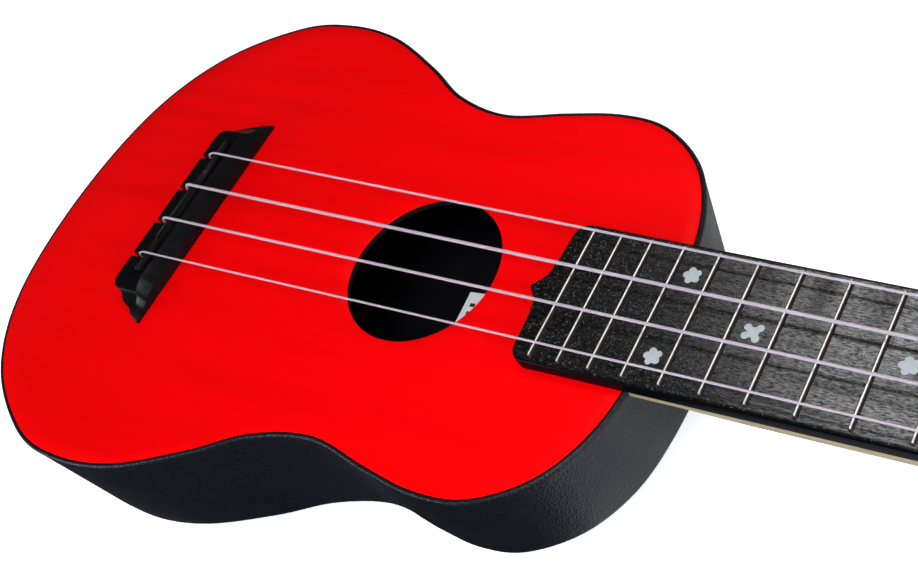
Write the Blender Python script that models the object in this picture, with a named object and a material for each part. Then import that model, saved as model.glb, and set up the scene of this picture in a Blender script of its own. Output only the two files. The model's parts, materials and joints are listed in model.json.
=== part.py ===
"""A soprano travel ukulele: moulded tub body, plywood soundboard, timber neck, slotted bridge and four geared tuners.

Drawing frame, in millimetres: x runs from the saddle line towards the headstock, y towards the bass side, and z up
from the soundboard's upper face. The empty "instrument" carries that frame so that the world origin is under the
middle of the instrument's bounding box, at the lowest point of the back.
"""

import math

import bmesh
import bpy
from mathutils import Matrix, Vector

MM = 0.001
GAP = 0.2  # between pieces that touch on the real instrument

# Driving dimensions
SCALE = 350.0  # nut to saddle line
TAIL_X = -68.2
BODY_END_X = 175.0  # the body meets the neck at the twelfth fret
RIM = 1.35  # width of the tub's rim outside the soundboard
WALL = 2.4
LEDGE = 3.0  # width of the seat that the soundboard rests on
TOP_THICKNESS = 2.0
DRAFT = 4.0  # how far the sides lean in between rim and back
BACK_EDGE_RADIUS = 3.0
SOUNDHOLE_X = 95.8
SOUNDHOLE_RADIUS = 25.1

BOARD_TOP = 4.05
BOARD_HALF_AT_BODY = 22.0
BOARD_HALF_AT_NUT = 18.3
BOARD_TIP_X = 135.8
FRET_COUNT = 15
FRET_HEIGHT = 1.0
FRET_HALF_WIDTH = 0.75
FRET_INSET = 1.5
MARKER_FRETS = (5, 7, 10)
TWIN_MARKER_FRET = 12
TWIN_MARKER_Y = 12.5

SADDLE_X = -4.6
SADDLE_SETBACK = 1.0  # the two middle strings bear this much further back
STRING_Z_AT_SADDLE = 9.7
STRING_Z_AT_NUT = 5.7
STRING_SPACING_AT_SADDLE = 14.1
STRING_SPACING_AT_NUT = 9.75
# name: (place across the board counted from the middle, diameter)
STRINGS = {"g": (1.5, 0.72), "c": (0.5, 1.0), "e": (-0.5, 0.86), "a": (-1.5, 0.64)}

NECK_DEPTH_AT_NUT = 14.5
NECK_CHEEK = 1.3  # the upright part of its sides
NUT_THICKNESS = 4.0
HEAD_TILT = 12.0  # degrees, down from the neck's line
HEAD_LENGTH = 113.0
HEAD_THICKNESS = 13.0
HEAD_FACE_Z = -1.0

POST_Y = 18.5
POST_X = {"g": 34.0, "c": 68.0, "e": 68.0, "a": 34.0}
POST_RADIUS = 3.0
GEAR_TEETH = 14
GEAR_PITCH_RADIUS = 4.2
WORM_PITCH_RADIUS = 2.1
WORM_OFFSET = GEAR_PITCH_RADIUS + WORM_PITCH_RADIUS
WORM_PITCH = 2 * math.pi * GEAR_PITCH_RADIUS / GEAR_TEETH
WORM_Z = -5.0  # below the headstock's back

TOP_Z = 67.0  # height of the soundboard above the flat at the lowest point of the back
MIDDLE_X = 196.885

BODY_HALF_OUTLINE = [
    (TAIL_X, 0.0),
    (-62.7, 41.0),
    (-45.6, 69.4),
    (-18.0, 87.0),
    (5.0, 90.4),
    (28.5, 86.3),
    (52.6, 74.7),
    (70.8, 63.9),
    (92.0, 58.6),
    (114.0, 61.9),
    (132.0, 63.8),
    (148.0, 61.2),
    (163.0, 50.4),
    (171.9, 34.0),
    (BODY_END_X, 14.0),
]
BODY_MIDDLE = (50.0, 0.0)  # every point of the outline is in sight of it
OUTLINE_POINTS = 64


# ---------------------------------------------------------------- small tools


def clear_scene():
    for obj in list(bpy.data.objects):
        bpy.data.objects.remove(obj)


def frame_empty(name, parent=None, location=(0, 0, 0), tilt=0.0):
    """An empty that carries a drawing frame; location in millimetres, tilt in degrees about y."""
    empty = bpy.data.objects.new(name, None)
    bpy.context.scene.collection.objects.link(empty)
    empty.parent = parent
    empty.location = Vector(location) * MM
    empty.rotation_euler = (0, math.radians(tilt), 0)
    return empty


def material(name, colour, roughness, metallic=0.0):
    made = bpy.data.materials.get(name) or bpy.data.materials.new(name)
    made.use_nodes = True
    shader = made.node_tree.nodes["Principled BSDF"]
    shader.inputs["Base Color"].default_value = (*colour, 1)
    shader.inputs["Roughness"].default_value = roughness
    shader.inputs["Metallic"].default_value = metallic
    return made


def make_object(name, bm, look, parent=None, location=(0, 0, 0), smooth=False):
    """Turns a bmesh drawn in millimetres into a named object in metres."""
    bmesh.ops.scale(bm, vec=(MM, MM, MM), verts=bm.verts)
    bmesh.ops.recalc_face_normals(bm, faces=bm.faces)
    mesh = bpy.data.meshes.new(name)
    bm.to_mesh(mesh)
    bm.free()
    obj = bpy.data.objects.new(name, mesh)
    bpy.context.scene.collection.objects.link(obj)
    obj.parent = parent
    obj.location = Vector(location) * MM
    if look:
        mesh.materials.append(look)
    if smooth:
        mesh.shade_smooth()
        mesh.set_sharp_from_angle(angle=math.radians(35))
    return obj


def loft(bm, rings, closed_ends=True):
    """Joins rings of equally many points by quads, and caps the two ends."""
    loops = [[bm.verts.new(p) for p in ring] for ring in rings]
    for a, b in zip(loops, loops[1:]):
        for i in range(len(a)):
            j = (i + 1) % len(a)
            bm.faces.new((a[i], a[j], b[j], b[i]))
    if closed_ends:
        bm.faces.new(loops[0][::-1])
        bm.faces.new(loops[-1])
    return loops


def prism(bm, outline, low, high):
    """A straight-sided solid over an outline of (x, y) points."""
    loft(bm, [[(x, y, z) for x, y in outline] for z in (low, high)])


def box(bm, low, high):
    (x0, y0, z0), (x1, y1, z1) = low, high
    prism(bm, [(x0, y0), (x1, y0), (x1, y1), (x0, y1)], z0, z1)


def circle(radius, count, x=0.0, y=0.0, phase=0.0):
    turn = 2 * math.pi / count
    angles = [turn * (i + phase) for i in range(count)]
    return [(x + radius * math.cos(a), y + radius * math.sin(a)) for a in angles]


def turned(bm, profile, count=20, axis="z"):
    """A solid of revolution from (radius, height) points that run from one end to the other."""
    rings = []
    for radius, height in profile:
        ring = circle(radius, count)
        rings.append([(x, y, height) if axis == "z" else (x, height, y) for x, y in ring])
    loft(bm, rings)


def cut(obj, bm, name, parent=None, location=(0, 0, 0), operation="DIFFERENCE"):
    """Subtracts the bmesh from the object, as a Boolean modifier with a hidden cutter."""
    cutter = make_object(f"{obj.name}_{name}", bm, None, parent or obj.parent, location)
    cutter.hide_render = True
    cutter.display_type = "WIRE"
    modifier = obj.modifiers.new(name, "BOOLEAN")
    modifier.operation = operation
    modifier.solver = "EXACT"
    modifier.object = cutter


def join(obj, bm, name, parent=None, location=(0, 0, 0)):
    """Adds the bmesh to the object, as a Boolean union with a hidden helper."""
    cut(obj, bm, name, parent, location, "UNION")


def catmull_rom(points, steps):
    """A smooth closed curve through the points, with equally many steps in each stretch."""
    count = len(points)
    curve = []
    for i in range(count):
        p0, p1, p2, p3 = (Vector(points[(i + k) % count]) for k in (-1, 0, 1, 2))
        for s in range(steps):
            t = s / steps
            square, cube = 2 * p0 - 5 * p1 + 4 * p2 - p3, 3 * p1 - p0 - 3 * p2 + p3
            curve.append(0.5 * (2 * p1 + (p2 - p0) * t + square * t**2 + cube * t**3))
    return curve


def spread_evenly(curve, count):
    """The closed curve again, as count points at equal distances."""
    lengths = [0.0]
    for a, b in zip(curve, curve[1:] + curve[:1]):
        lengths.append(lengths[-1] + (b - a).length)
    points, k = [], 0
    for i in range(count):
        target = lengths[-1] * i / count
        while lengths[k + 1] < target:
            k += 1
        t = (target - lengths[k]) / (lengths[k + 1] - lengths[k])
        points.append(curve[k].lerp(curve[(k + 1) % len(curve)], t))
    return points


# ---------------------------------------------------------------- shared shapes


def body_outline(offset, count=OUTLINE_POINTS):
    """The soundboard's outline as (x, y) points, moved outwards by offset."""
    mirrored = [(x, -y) for x, y in BODY_HALF_OUTLINE[:0:-1]]
    fine = spread_evenly(catmull_rom(BODY_HALF_OUTLINE + mirrored, 12), count)
    moved = []
    for i, point in enumerate(fine):
        along = (fine[(i + 1) % count] - fine[i - 1]).normalized()
        moved.append(point + Vector((-along.y, along.x)) * offset)
    return moved


def back_depth(x, y):
    """How far the arched back lies below the soundboard's upper face."""
    along = (x - BODY_MIDDLE[0]) / 120.0
    across = y / 90.0
    bend = 5.0 if along > 0 else 7.0
    return 61.7 - 13.0 * along - 17.0 * across**2 - bend * along**2


def board_half_width(x):
    share = (x - BODY_END_X) / (SCALE - BODY_END_X)
    return BOARD_HALF_AT_BODY + (BOARD_HALF_AT_NUT - BOARD_HALF_AT_BODY) * share


def fret_x(number):
    return SCALE * 2 ** (-number / 12)


def wall_rings(offsets_and_heights, count=OUTLINE_POINTS):
    """Rings of 3-D points round the body, from (offset, height below the rim, share of the back's depth)."""
    rings = []
    for offset, drop, share in offsets_and_heights:
        edge = body_outline(offset, count)
        rings.append([(p.x, p.y, -drop - share * (back_depth(p.x, p.y) - drop)) for p in edge])
    return rings


def shrunk_rings(offset, shares, lift, count=OUTLINE_POINTS):
    """Rings on the arched back, from near its edge to its middle."""
    edge = body_outline(offset, count)
    middle = Vector(BODY_MIDDLE)
    rings = []
    for share in shares:
        ring = [middle + (p - middle) * share for p in edge]
        rings.append([(p.x, p.y, lift - back_depth(p.x, p.y)) for p in ring])
    return rings


# ---------------------------------------------------------------- body


def make_body_shell(root, look):
    """The moulded tub: rounded rim, ledge for the soundboard, leaning sides and an arched back."""
    bottom = RIM - DRAFT
    radius = BACK_EDGE_RADIUS
    outer = wall_rings([(GAP, 0.35, 0), (0.5, 0.05, 0), (0.95, 0.2, 0), (RIM, 1.0, 0)])
    outer += wall_rings([(RIM - DRAFT * 0.5, 0, 0.5)])
    for offset, rise in ((bottom, radius), (bottom - 0.3 * radius, 0.3 * radius)):
        outer.append([(x, y, z + rise) for x, y, z in wall_rings([(offset, 0, 1)])[0]])
    outer += wall_rings([(bottom - radius, 0, 1)])
    outer += shrunk_rings(bottom - radius, (0.78, 0.5, 0.12), 0)
    inner = shrunk_rings(bottom - radius, (0.12, 0.3, 0.5, 0.75), WALL)
    inner.append([(x, y, z + WALL) for x, y, z in wall_rings([(bottom - radius, 0, 1)])[0]])
    inner.append([(x, y, z + WALL + 2) for x, y, z in wall_rings([(bottom - WALL, 0, 1)])[0]])
    seat = TOP_THICKNESS + GAP
    inner += wall_rings([(RIM - WALL, 9.0, 0), (-LEDGE, 6.0, 0), (-LEDGE, seat, 0), (GAP, seat, 0)])
    bm = bmesh.new()
    outer_loops = loft(bm, outer, closed_ends=False)
    inner_loops = loft(bm, inner, closed_ends=False)
    bm.faces.new(outer_loops[-1])
    bm.faces.new(inner_loops[0])
    first, last = outer_loops[0], inner_loops[-1]
    for i in range(OUTLINE_POINTS):
        j = (i + 1) % OUTLINE_POINTS
        bm.faces.new((last[i], last[j], first[j], first[i]))
    shell = make_object("body_shell", bm, look, root, smooth=True)
    flat = bmesh.new()
    box(flat, (-120, -80, -TOP_Z - 20), (120, 80, -TOP_Z))
    cut(shell, flat, "resting_flat")
    return shell


def make_soundboard(root, look):
    """The plywood top, set in the rim's ledge."""
    bm = bmesh.new()
    prism(bm, body_outline(0), -TOP_THICKNESS, 0)
    board = make_object("soundboard", bm, look, root)
    hole = bmesh.new()
    prism(hole, circle(SOUNDHOLE_RADIUS, 40, SOUNDHOLE_X), -9, 9)
    cut(board, hole, "soundhole")
    return board


def make_inner_timber(root, look):
    """Braces and bridge plate under the soundboard, and the block that the neck is fixed to."""
    under = -TOP_THICKNESS - GAP
    for name, x, half_length, height in (("brace_upper", 131.0, 57.0, 8.0), ("brace_lower", 52.0, 69.0, 8.0)):
        bm = bmesh.new()
        side = [(-half_length, -3.0), (12 - half_length, -height), (half_length - 12, -height)]
        side += [(half_length, -3.0), (half_length, 0.0), (-half_length, 0.0)]
        rings = [[(x + dx, y, under + z) for y, z in side] for dx in (-3.0, 3.0)]
        loft(bm, rings)
        make_object(name, bm, look, root)
    bm = bmesh.new()
    box(bm, (-20, -34, under - 2.0), (8, 34, under))
    make_object("bridge_plate", bm, look, root)
    bm = bmesh.new()
    back = [(147.0, -18.0), (147.0, 18.0), (166.5, 18.0), (166.5, -18.0)]
    top = [(147.0, -18.0), (147.0, 18.0), (171.0, 18.0), (171.0, -18.0)]
    loft(bm, [[(x, y, -32.0) for x, y in back], [(x, y, under) for x, y in top]])
    make_object("neck_block", bm, look, root)


def make_label(root, look):
    """The paper label stuck inside the back under the soundhole, bent to the back's curve."""
    x0, x1, half_width, thickness, clear = 66.5, 110.0, 27.5, 0.25, 0.6
    columns = [x0 + (x1 - x0) * i / 4 for i in range(5)]
    rows = [-half_width + 2 * half_width * i / 6 for i in range(7)]
    bm = bmesh.new()
    rings = []
    for x in columns:
        lower = [(x, y, -back_depth(x, y) + WALL + clear) for y in rows]
        rings.append([(x, y, z + thickness) for _, y, z in lower] + lower[::-1])
    loft(bm, rings)
    make_object("label", bm, look, root)


# ---------------------------------------------------------------- bridge and saddle

BRIDGE_FRONT_X = 2.0
BRIDGE_HALF_LENGTH = 41.9
# (y, rear edge x, height at the rear, height at the crest) along the bass half; the treble half mirrors it
BRIDGE_STATIONS = [(0.0, -14.6, 6.2, 7.3), (29.0, -14.6, 6.2, 7.3), (32.0, -13.9, 6.2, 6.4)]
BRIDGE_STATIONS += [(33.7, -12.3, 5.7, 5.8), (34.5, -9.3, 5.1, 5.2), (37.1, -7.3, 3.6, 3.8)]
BRIDGE_STATIONS += [(38.7, -3.3, 3.1, 3.2), (40.5, -1.6, 2.1, 2.2), (BRIDGE_HALF_LENGTH, 1.0, 0.9, 1.0)]
SLOT_WIDTH = 1.5


def bridge_section(y, rear, rear_height, crest_height):
    """One cross-section, from the front foot up the sloping front and over the deck to the rear foot."""
    front = BRIDGE_FRONT_X
    depth = front - rear
    points = [
        (front, GAP),
        (front - 0.03 * depth, 0.16 * crest_height + GAP),
        (front - 0.24 * depth, crest_height),
        (rear + 0.3 * depth, (crest_height + rear_height) / 2),
        (rear + 0.03 * depth, rear_height),
        (rear, 0.9 * rear_height),
        (rear, GAP),
    ]
    return [(x, y, z) for x, z in points]


def make_bridge(root, look):
    """The slotted bridge: a knot pocket and a slot behind each string, and a groove for the saddle."""
    treble = [(-y, *rest) for y, *rest in BRIDGE_STATIONS[:0:-1]]
    bm = bmesh.new()
    loft(bm, [bridge_section(*station) for station in treble + BRIDGE_STATIONS])
    bmesh.ops.triangulate(bm, faces=bm.faces)
    bridge = make_object("bridge", bm, look, root)
    slots = bmesh.new()
    for place, _ in STRINGS.values():
        y = place * STRING_SPACING_AT_SADDLE
        box(slots, (-18.0, y - SLOT_WIDTH / 2, 2.6), (SADDLE_X - 2.0, y + SLOT_WIDTH / 2, 12.0))
    cut(bridge, slots, "slots")
    pockets = bmesh.new()
    for place, _ in STRINGS.values():
        y = place * STRING_SPACING_AT_SADDLE
        box(pockets, (-12.6, y - 2.2, -1.0), (-8.9, y + 2.2, 3.6))
    cut(bridge, pockets, "knot_pockets")
    groove = bmesh.new()
    box(groove, (SADDLE_X - 2.2, -27.5, 4.6), (SADDLE_X + 1.2, 27.5, 12.0))
    cut(bridge, groove, "saddle_groove")


def make_saddle(root, look):
    """The bar that the strings bear on; its middle stretch is set back for the two thicker strings."""
    half, middle = 27.2, STRING_SPACING_AT_SADDLE
    front, back, floor = SADDLE_X + 1.0, SADDLE_X - 2.0, 4.8
    rings = []
    for y, setback in ((-half, 0), (-middle - 0.6, 0), (-middle + 0.6, SADDLE_SETBACK)):
        crown = STRING_Z_AT_SADDLE - 0.65
        rings.append(
            [
                (front, y, floor),
                (front, y, crown - 1.0 - 0.4 * setback),
                (SADDLE_X - setback + 0.35, y, crown),
                (SADDLE_X - setback - 0.35, y, crown),
                (back, y, crown - 1.2 + 0.4 * setback),
                (back, y, floor),
            ]
        )
    rings += [[(x, -y, z) for x, y, z in ring] for ring in rings[::-1]]
    bm = bmesh.new()
    loft(bm, rings)
    make_object("saddle", bm, look, root)


# ---------------------------------------------------------------- neck, fingerboard, frets, nut


def neck_section(x, half_width, depth, flare, fall, points=14):
    """The neck's section: flat top, low upright cheeks and a softly pointed back."""
    section = [(x, half_width, -GAP)]
    for i in range(points + 1):
        a = math.pi * i / points
        y = half_width * math.copysign(abs(math.cos(a)) ** flare, math.cos(a))
        z = -NECK_CHEEK - (depth - NECK_CHEEK) * math.sin(a) ** fall
        section.append((x, y, z))
    section.append((x, -half_width, -GAP))
    return section


def neck_stations():
    """(x, depth, flare, fall) from inside the heel to under the nut; the last two shape the section's back."""
    heel = [(160.0, 38.0, 1.7, 2.2), (177.0, 37.0, 1.7, 2.2), (183.0, 33.0, 1.6, 2.1)]
    heel += [(190.0, 26.5, 1.4, 1.85), (198.0, 21.0, 1.2, 1.6)]
    heel += [(208.0, 17.6, 1.08, 1.42), (222.0, 16.4, 1.05, 1.35)]
    heel += [(290.0, 15.4, 1.03, 1.3), (345.0, NECK_DEPTH_AT_NUT, 1.0, 1.2)]
    return heel + [(362.0, NECK_DEPTH_AT_NUT, 1.0, 1.2)]


HEAD_HALF_OUTLINE = [
    (0.0, 18.2),
    (8.0, 18.6),
    (18.0, 22.5),
    (27.0, 26.0),
    (50.0, 26.6),
    (80.0, 28.2),
    (98.0, 29.6),
    (106.0, 28.6),
    (HEAD_LENGTH - 2.2, 22.0),
    (HEAD_LENGTH, 10.0),
]


def head_outline():
    """The headstock's outline: a plain paddle that widens to a softly arched end."""
    return HEAD_HALF_OUTLINE + [(x, -y) for x, y in HEAD_HALF_OUTLINE[::-1]]


def make_neck(root, head, look):
    """Heel, shaft and tilted headstock in one piece of timber."""
    bm = bmesh.new()
    loft(bm, [neck_section(x, board_half_width(x) - 0.15, *shape) for x, *shape in neck_stations()])
    neck = make_object("neck", bm, look, root, smooth=True)
    past_nut = bmesh.new()
    box(past_nut, (SCALE + NUT_THICKNESS + 0.6, -40, HEAD_FACE_Z - 1.5), (SCALE + 30, 40, 5))
    cut(neck, past_nut, "nut_shoulder")
    under_head = bmesh.new()
    prism(under_head, [(0.5, -40), (40, -40), (40, 40), (0.5, 40)], -60, -HEAD_THICKNESS + HEAD_FACE_Z)
    cut(neck, under_head, "head_back", head)
    over_head = bmesh.new()
    prism(over_head, [(0.5, -40), (40, -40), (40, 40), (0.5, 40)], HEAD_FACE_Z, 30)
    cut(neck, over_head, "head_front", head)
    plate = bmesh.new()
    prism(plate, head_outline(), HEAD_FACE_Z - HEAD_THICKNESS + 0.01, HEAD_FACE_Z - 0.01)
    join(neck, plate, "headstock", head)
    body = bmesh.new()
    side = body_outline(RIM + 2 * GAP)
    lower = [(x, y, z - 30.0) for x, y, z in wall_rings([(RIM - DRAFT - 1.4, 0, 1)])[0]]
    loft(body, [lower, [(p.x, p.y, -1.0) for p in side], [(p.x, p.y, 8.0) for p in side]])
    cut(neck, body, "body_side")
    holes = bmesh.new()
    for name, (place, _) in STRINGS.items():
        x, y = POST_X[name], math.copysign(POST_Y, place)
        prism(holes, circle(POST_RADIUS + 0.5, 16, x, y), -40, 10)
    cut(neck, holes, "post_holes", head)
    seats = bmesh.new()
    for name, (place, _) in STRINGS.items():
        x, y = POST_X[name], math.copysign(POST_Y, place)
        prism(seats, circle(4.6, 16, x, y), HEAD_FACE_Z - 5.2, 10)
    cut(neck, seats, "bushing_seats", head)


def board_end():
    """The fingerboard's end over the soundboard: rounded corners and a small point between two hollows."""
    half = board_half_width(BOARD_TIP_X + 6)
    corner = 4.8
    centre = (BOARD_TIP_X + 4.7 + corner, half - corner)
    points = []
    for i in range(5):
        a = math.radians(90 + 22.5 * i)
        points.append((centre[0] + corner * math.cos(a), centre[1] + corner * math.sin(a)))
    for short, y in ((4.4, 11.2), (4.0, 7.7), (3.2, 4.0), (0.0, 0.0)):
        points.append((BOARD_TIP_X + short, y))
    return points


# directions of the petals in degrees, distance of their centres, their radius, and the core's radius
MARKER_KINDS = {
    "flower": ([36, 108, 180, 252, 324], 1.6, 0.98, 1.85),
    "clover": ([47, 145, 215, 308], 2.05, 1.05, 1.55),
}


def petals(x, y, kind, grow=0.0, count=40):
    """The outline of round petals about a round core, as (x, y) points."""
    directions, distance, lobe, core = MARKER_KINDS[kind]
    points = []
    for i in range(count):
        a = 2 * math.pi * i / count
        reach = core + grow
        for direction in directions:
            off = a - math.radians(direction)
            inside = (lobe + grow) ** 2 - (distance * math.sin(off)) ** 2
            if inside > 0 and math.cos(off) > 0:
                reach = max(reach, distance * math.cos(off) + math.sqrt(inside))
        points.append((x + reach * math.cos(a), y + reach * math.sin(a)))
    return points


def marker_places():
    """name: (x, y, kind) for each position marker."""
    places = {}
    for fret in MARKER_FRETS:
        x = (fret_x(fret) + fret_x(fret - 1)) / 2
        places[f"marker_{fret:02d}"] = (x, 0.0, "clover" if fret == 10 else "flower")
    x = (fret_x(TWIN_MARKER_FRET) + fret_x(TWIN_MARKER_FRET - 1)) / 2
    places[f"marker_{TWIN_MARKER_FRET}_bass"] = (x, TWIN_MARKER_Y, "flower")
    places[f"marker_{TWIN_MARKER_FRET}_treble"] = (x, -TWIN_MARKER_Y, "flower")
    return places


def make_fingerboard(root, look, marker_look):
    """The moulded fingerboard with a slot for each fret and a recess for each marker."""
    bass = [(SCALE - GAP, board_half_width(SCALE))] + board_end()
    outline = bass + [(x, -y) for x, y in bass[-2::-1]]
    bm = bmesh.new()
    top_inset = 0.5
    lower = [(x, y, GAP) for x, y in outline]
    middle = [(x, y, BOARD_TOP - top_inset) for x, y in outline]
    upper = []
    for x, y in outline:
        upper.append((x + (top_inset if x < SCALE - 5 else 0), y * (1 - top_inset / 24), BOARD_TOP))
    loft(bm, [lower, middle, upper])
    board = make_object("fingerboard", bm, look, root)
    slots = bmesh.new()
    for number in range(1, FRET_COUNT + 1):
        x, half = fret_x(number), board_half_width(fret_x(number)) - FRET_INSET
        box(slots, (x - 0.4, -half - 0.1, BOARD_TOP - 2.0), (x + 0.4, half + 0.1, BOARD_TOP + 2))
    cut(board, slots, "fret_slots")
    recesses = bmesh.new()
    for x, y, kind in marker_places().values():
        prism(recesses, petals(x, y, kind, grow=0.15), BOARD_TOP - 0.8, BOARD_TOP + 2)
    cut(board, recesses, "marker_recesses")
    for name, (x, y, kind) in marker_places().items():
        bm = bmesh.new()
        prism(bm, petals(0, 0, kind), -0.6, 0.0)
        make_object(name, bm, marker_look, root, (x, y, BOARD_TOP))


def make_frets(root, look):
    """T-shaped fret wire: a domed crown on the board and a tang in the slot."""
    w, h = FRET_HALF_WIDTH, FRET_HEIGHT
    section = [(-0.25, -1.7), (0.25, -1.7), (0.25, 0.1), (w, 0.1), (0.75 * w, 0.7 * h)]
    section += [(0.3 * w, h), (-0.3 * w, h), (-0.75 * w, 0.7 * h), (-w, 0.1), (-0.25, 0.1)]
    for number in range(1, FRET_COUNT + 1):
        x = fret_x(number)
        half = board_half_width(x) - FRET_INSET
        bm = bmesh.new()
        loft(bm, [[(dx, y, z) for dx, z in section] for y in (-half, half)])
        make_object(f"fret_{number:02d}", bm, look, root, (x, 0, BOARD_TOP))


def make_nut(root, look):
    """The nut, with a groove for each string."""
    bm = bmesh.new()
    half = BOARD_HALF_AT_NUT
    section = [(0, GAP), (NUT_THICKNESS, GAP), (NUT_THICKNESS, 4.6), (NUT_THICKNESS - 1.2, 6.0), (0.6, 6.3), (0, 6.0)]
    loft(bm, [[(SCALE + dx, y, z) for dx, z in section] for y in (-half, half)])
    nut = make_object("nut", bm, look, root)
    grooves = bmesh.new()
    for place, diameter in STRINGS.values():
        y, r = place * STRING_SPACING_AT_NUT, diameter / 2 + 0.12
        floor = STRING_Z_AT_NUT - r
        ramp = [(SCALE - 1, floor), (SCALE + 1.5, floor), (SCALE + 9, floor - 3.0), (SCALE + 9, 9), (SCALE - 1, 9)]
        loft(grooves, [[(x, yy, z) for x, z in ramp] for yy in (y - r, y + r)])
    cut(nut, grooves, "string_grooves")


# ---------------------------------------------------------------- tuners


def post_centre(name):
    place, _ = STRINGS[name]
    return POST_X[name], math.copysign(POST_Y, place)


def worm_radius(phase):
    """Thread form: root, flank, crest, by the share of one pitch from the crest's middle."""
    from_crest = abs((phase + 0.5) % 1.0 - 0.5)
    root, crest = WORM_PITCH_RADIUS - 0.65, WORM_PITCH_RADIUS + 0.4
    if from_crest < 0.09:
        return crest
    if from_crest > 0.26:
        return root
    return crest + (root - crest) * (from_crest - 0.09) / 0.17


def worm_rings(half_length, count=12, steps_per_pitch=6):
    """The worm's surface, facing the gear with a crest at y = 0."""
    rings = []
    stations = int(round(2 * half_length / WORM_PITCH * steps_per_pitch))
    for k in range(stations + 1):
        y = -half_length + 2 * half_length * k / stations
        ring = []
        for i in range(count):
            turn = i / count
            radius = worm_radius(y / WORM_PITCH - turn - 0.25)
            ring.append((radius * math.sin(2 * math.pi * turn), y, radius * math.cos(2 * math.pi * turn)))
        rings.append(ring)
    return rings


def straight_ring(radius, y, count=12):
    turns = [2 * math.pi * i / count for i in range(count)]
    return [(radius * math.sin(a), y, radius * math.cos(a)) for a in turns]


def make_worm_shaft(name, side, parent, location, look):
    """Worm and shaft in one piece; the shaft runs out through the outer lug to the button."""
    inner, outer = -7.6 * side, 19.6 * side
    rings = [straight_ring(1.1, inner), straight_ring(1.35, inner + 0.3 * side), straight_ring(1.35, -3.7 * side)]
    threads = worm_rings(3.5)
    rings += threads if side > 0 else threads[::-1]
    rings += [straight_ring(1.35, 3.7 * side), straight_ring(1.35, outer - 0.3 * side), straight_ring(1.1, outer)]
    bm = bmesh.new()
    loft(bm, rings)
    make_object(f"worm_shaft_{name}", bm, look, parent, location, smooth=True)


def make_button(name, side, parent, location, look):
    """The moulded button: an oval paddle with a collar, bored for the shaft."""
    bm = bmesh.new()
    rings = []
    stations = [(12.3, 2.6, 2.6), (13.6, 2.8, 2.8), (15.0, 4.2, 3.0), (17.6, 7.2, 3.4), (21.0, 8.0, 3.6)]
    stations += [(24.4, 7.4, 3.5), (27.0, 5.2, 2.9), (28.0, 2.6, 1.6)]
    for y, half_x, half_z in stations:
        turns = [2 * math.pi * (i + 0.5) / 16 for i in range(16)]
        rings.append([(half_x * math.cos(a), y * side, half_z * math.sin(a)) for a in turns])
    loft(bm, rings)
    button = make_object(f"button_{name}", bm, look, parent, location, smooth=True)
    bore = bmesh.new()
    loft(bore, [straight_ring(1.55, 11.0 * side), straight_ring(1.55, 19.9 * side)])
    cut(button, bore, "shaft_bore", parent, location)


def gear_outline(twist):
    """Teeth with a gap facing the worm."""
    tip, root = GEAR_PITCH_RADIUS + 0.4, GEAR_PITCH_RADIUS - 0.7
    pitch = 2 * math.pi / GEAR_TEETH
    points = []
    for tooth in range(GEAR_TEETH):
        middle = pitch * (tooth + 0.5) + twist
        for share, radius in ((-0.3, root), (-0.1, tip), (0.1, tip), (0.3, root)):
            a = middle + share * pitch
            points.append((radius * math.cos(a), radius * math.sin(a)))
    return points


def make_gear(name, parent, location, look):
    """The worm wheel, its teeth leaning with the worm's thread."""
    half = 1.4
    lean = WORM_PITCH / (2 * math.pi * WORM_PITCH_RADIUS * GEAR_PITCH_RADIUS)
    bm = bmesh.new()
    loft(bm, [[(x, y, z) for x, y in gear_outline(lean * z)] for z in (-half, half)])
    gear = make_object(f"drive_gear_{name}", bm, look, parent, location)
    bore = bmesh.new()
    prism(bore, circle(1.6, 12), -4, 4)
    cut(gear, bore, "bore", parent, location)


def make_post(name, parent, location, look):
    """The string post, from the gear's tenon up through the headstock to the waisted capstan."""
    back = -HEAD_THICKNESS
    profile = [(1.4, back - 6.7), (1.4, back - 3.2), (2.6, back - 3.2), (2.6, back - 0.5), (POST_RADIUS, back + 0.3)]
    profile += [(POST_RADIUS, 3.4), (2.5, 4.6), (2.3, 6.6), (2.5, 8.6), (POST_RADIUS, 9.8)]
    profile += [(POST_RADIUS, 12.2), (2.4, 13.2)]
    bm = bmesh.new()
    turned(bm, profile, 16)
    post = make_object(f"string_post_{name}", bm, look, parent, location, smooth=True)
    hole = bmesh.new()
    loft(hole, [[(x, y, 11.1 + z) for y, z in circle(0.65, 8)] for x in (-6, 6)])
    cut(post, hole, "string_hole", parent, location)


def make_bushing(name, parent, location, look):
    """The ferrule pressed into the headstock's face round the post."""
    bm = bmesh.new()
    outer = [(4.3, -4.8), (4.3, 0.15), (5.4, 0.2), (5.2, 1.0), (4.2, 1.6)]
    turned(bm, outer, 16)
    bushing = make_object(f"bushing_{name}", bm, look, parent, location, smooth=True)
    bore = bmesh.new()
    prism(bore, circle(POST_RADIUS + 0.25, 16), -9, 9)
    cut(bushing, bore, "bore", parent, location)


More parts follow.
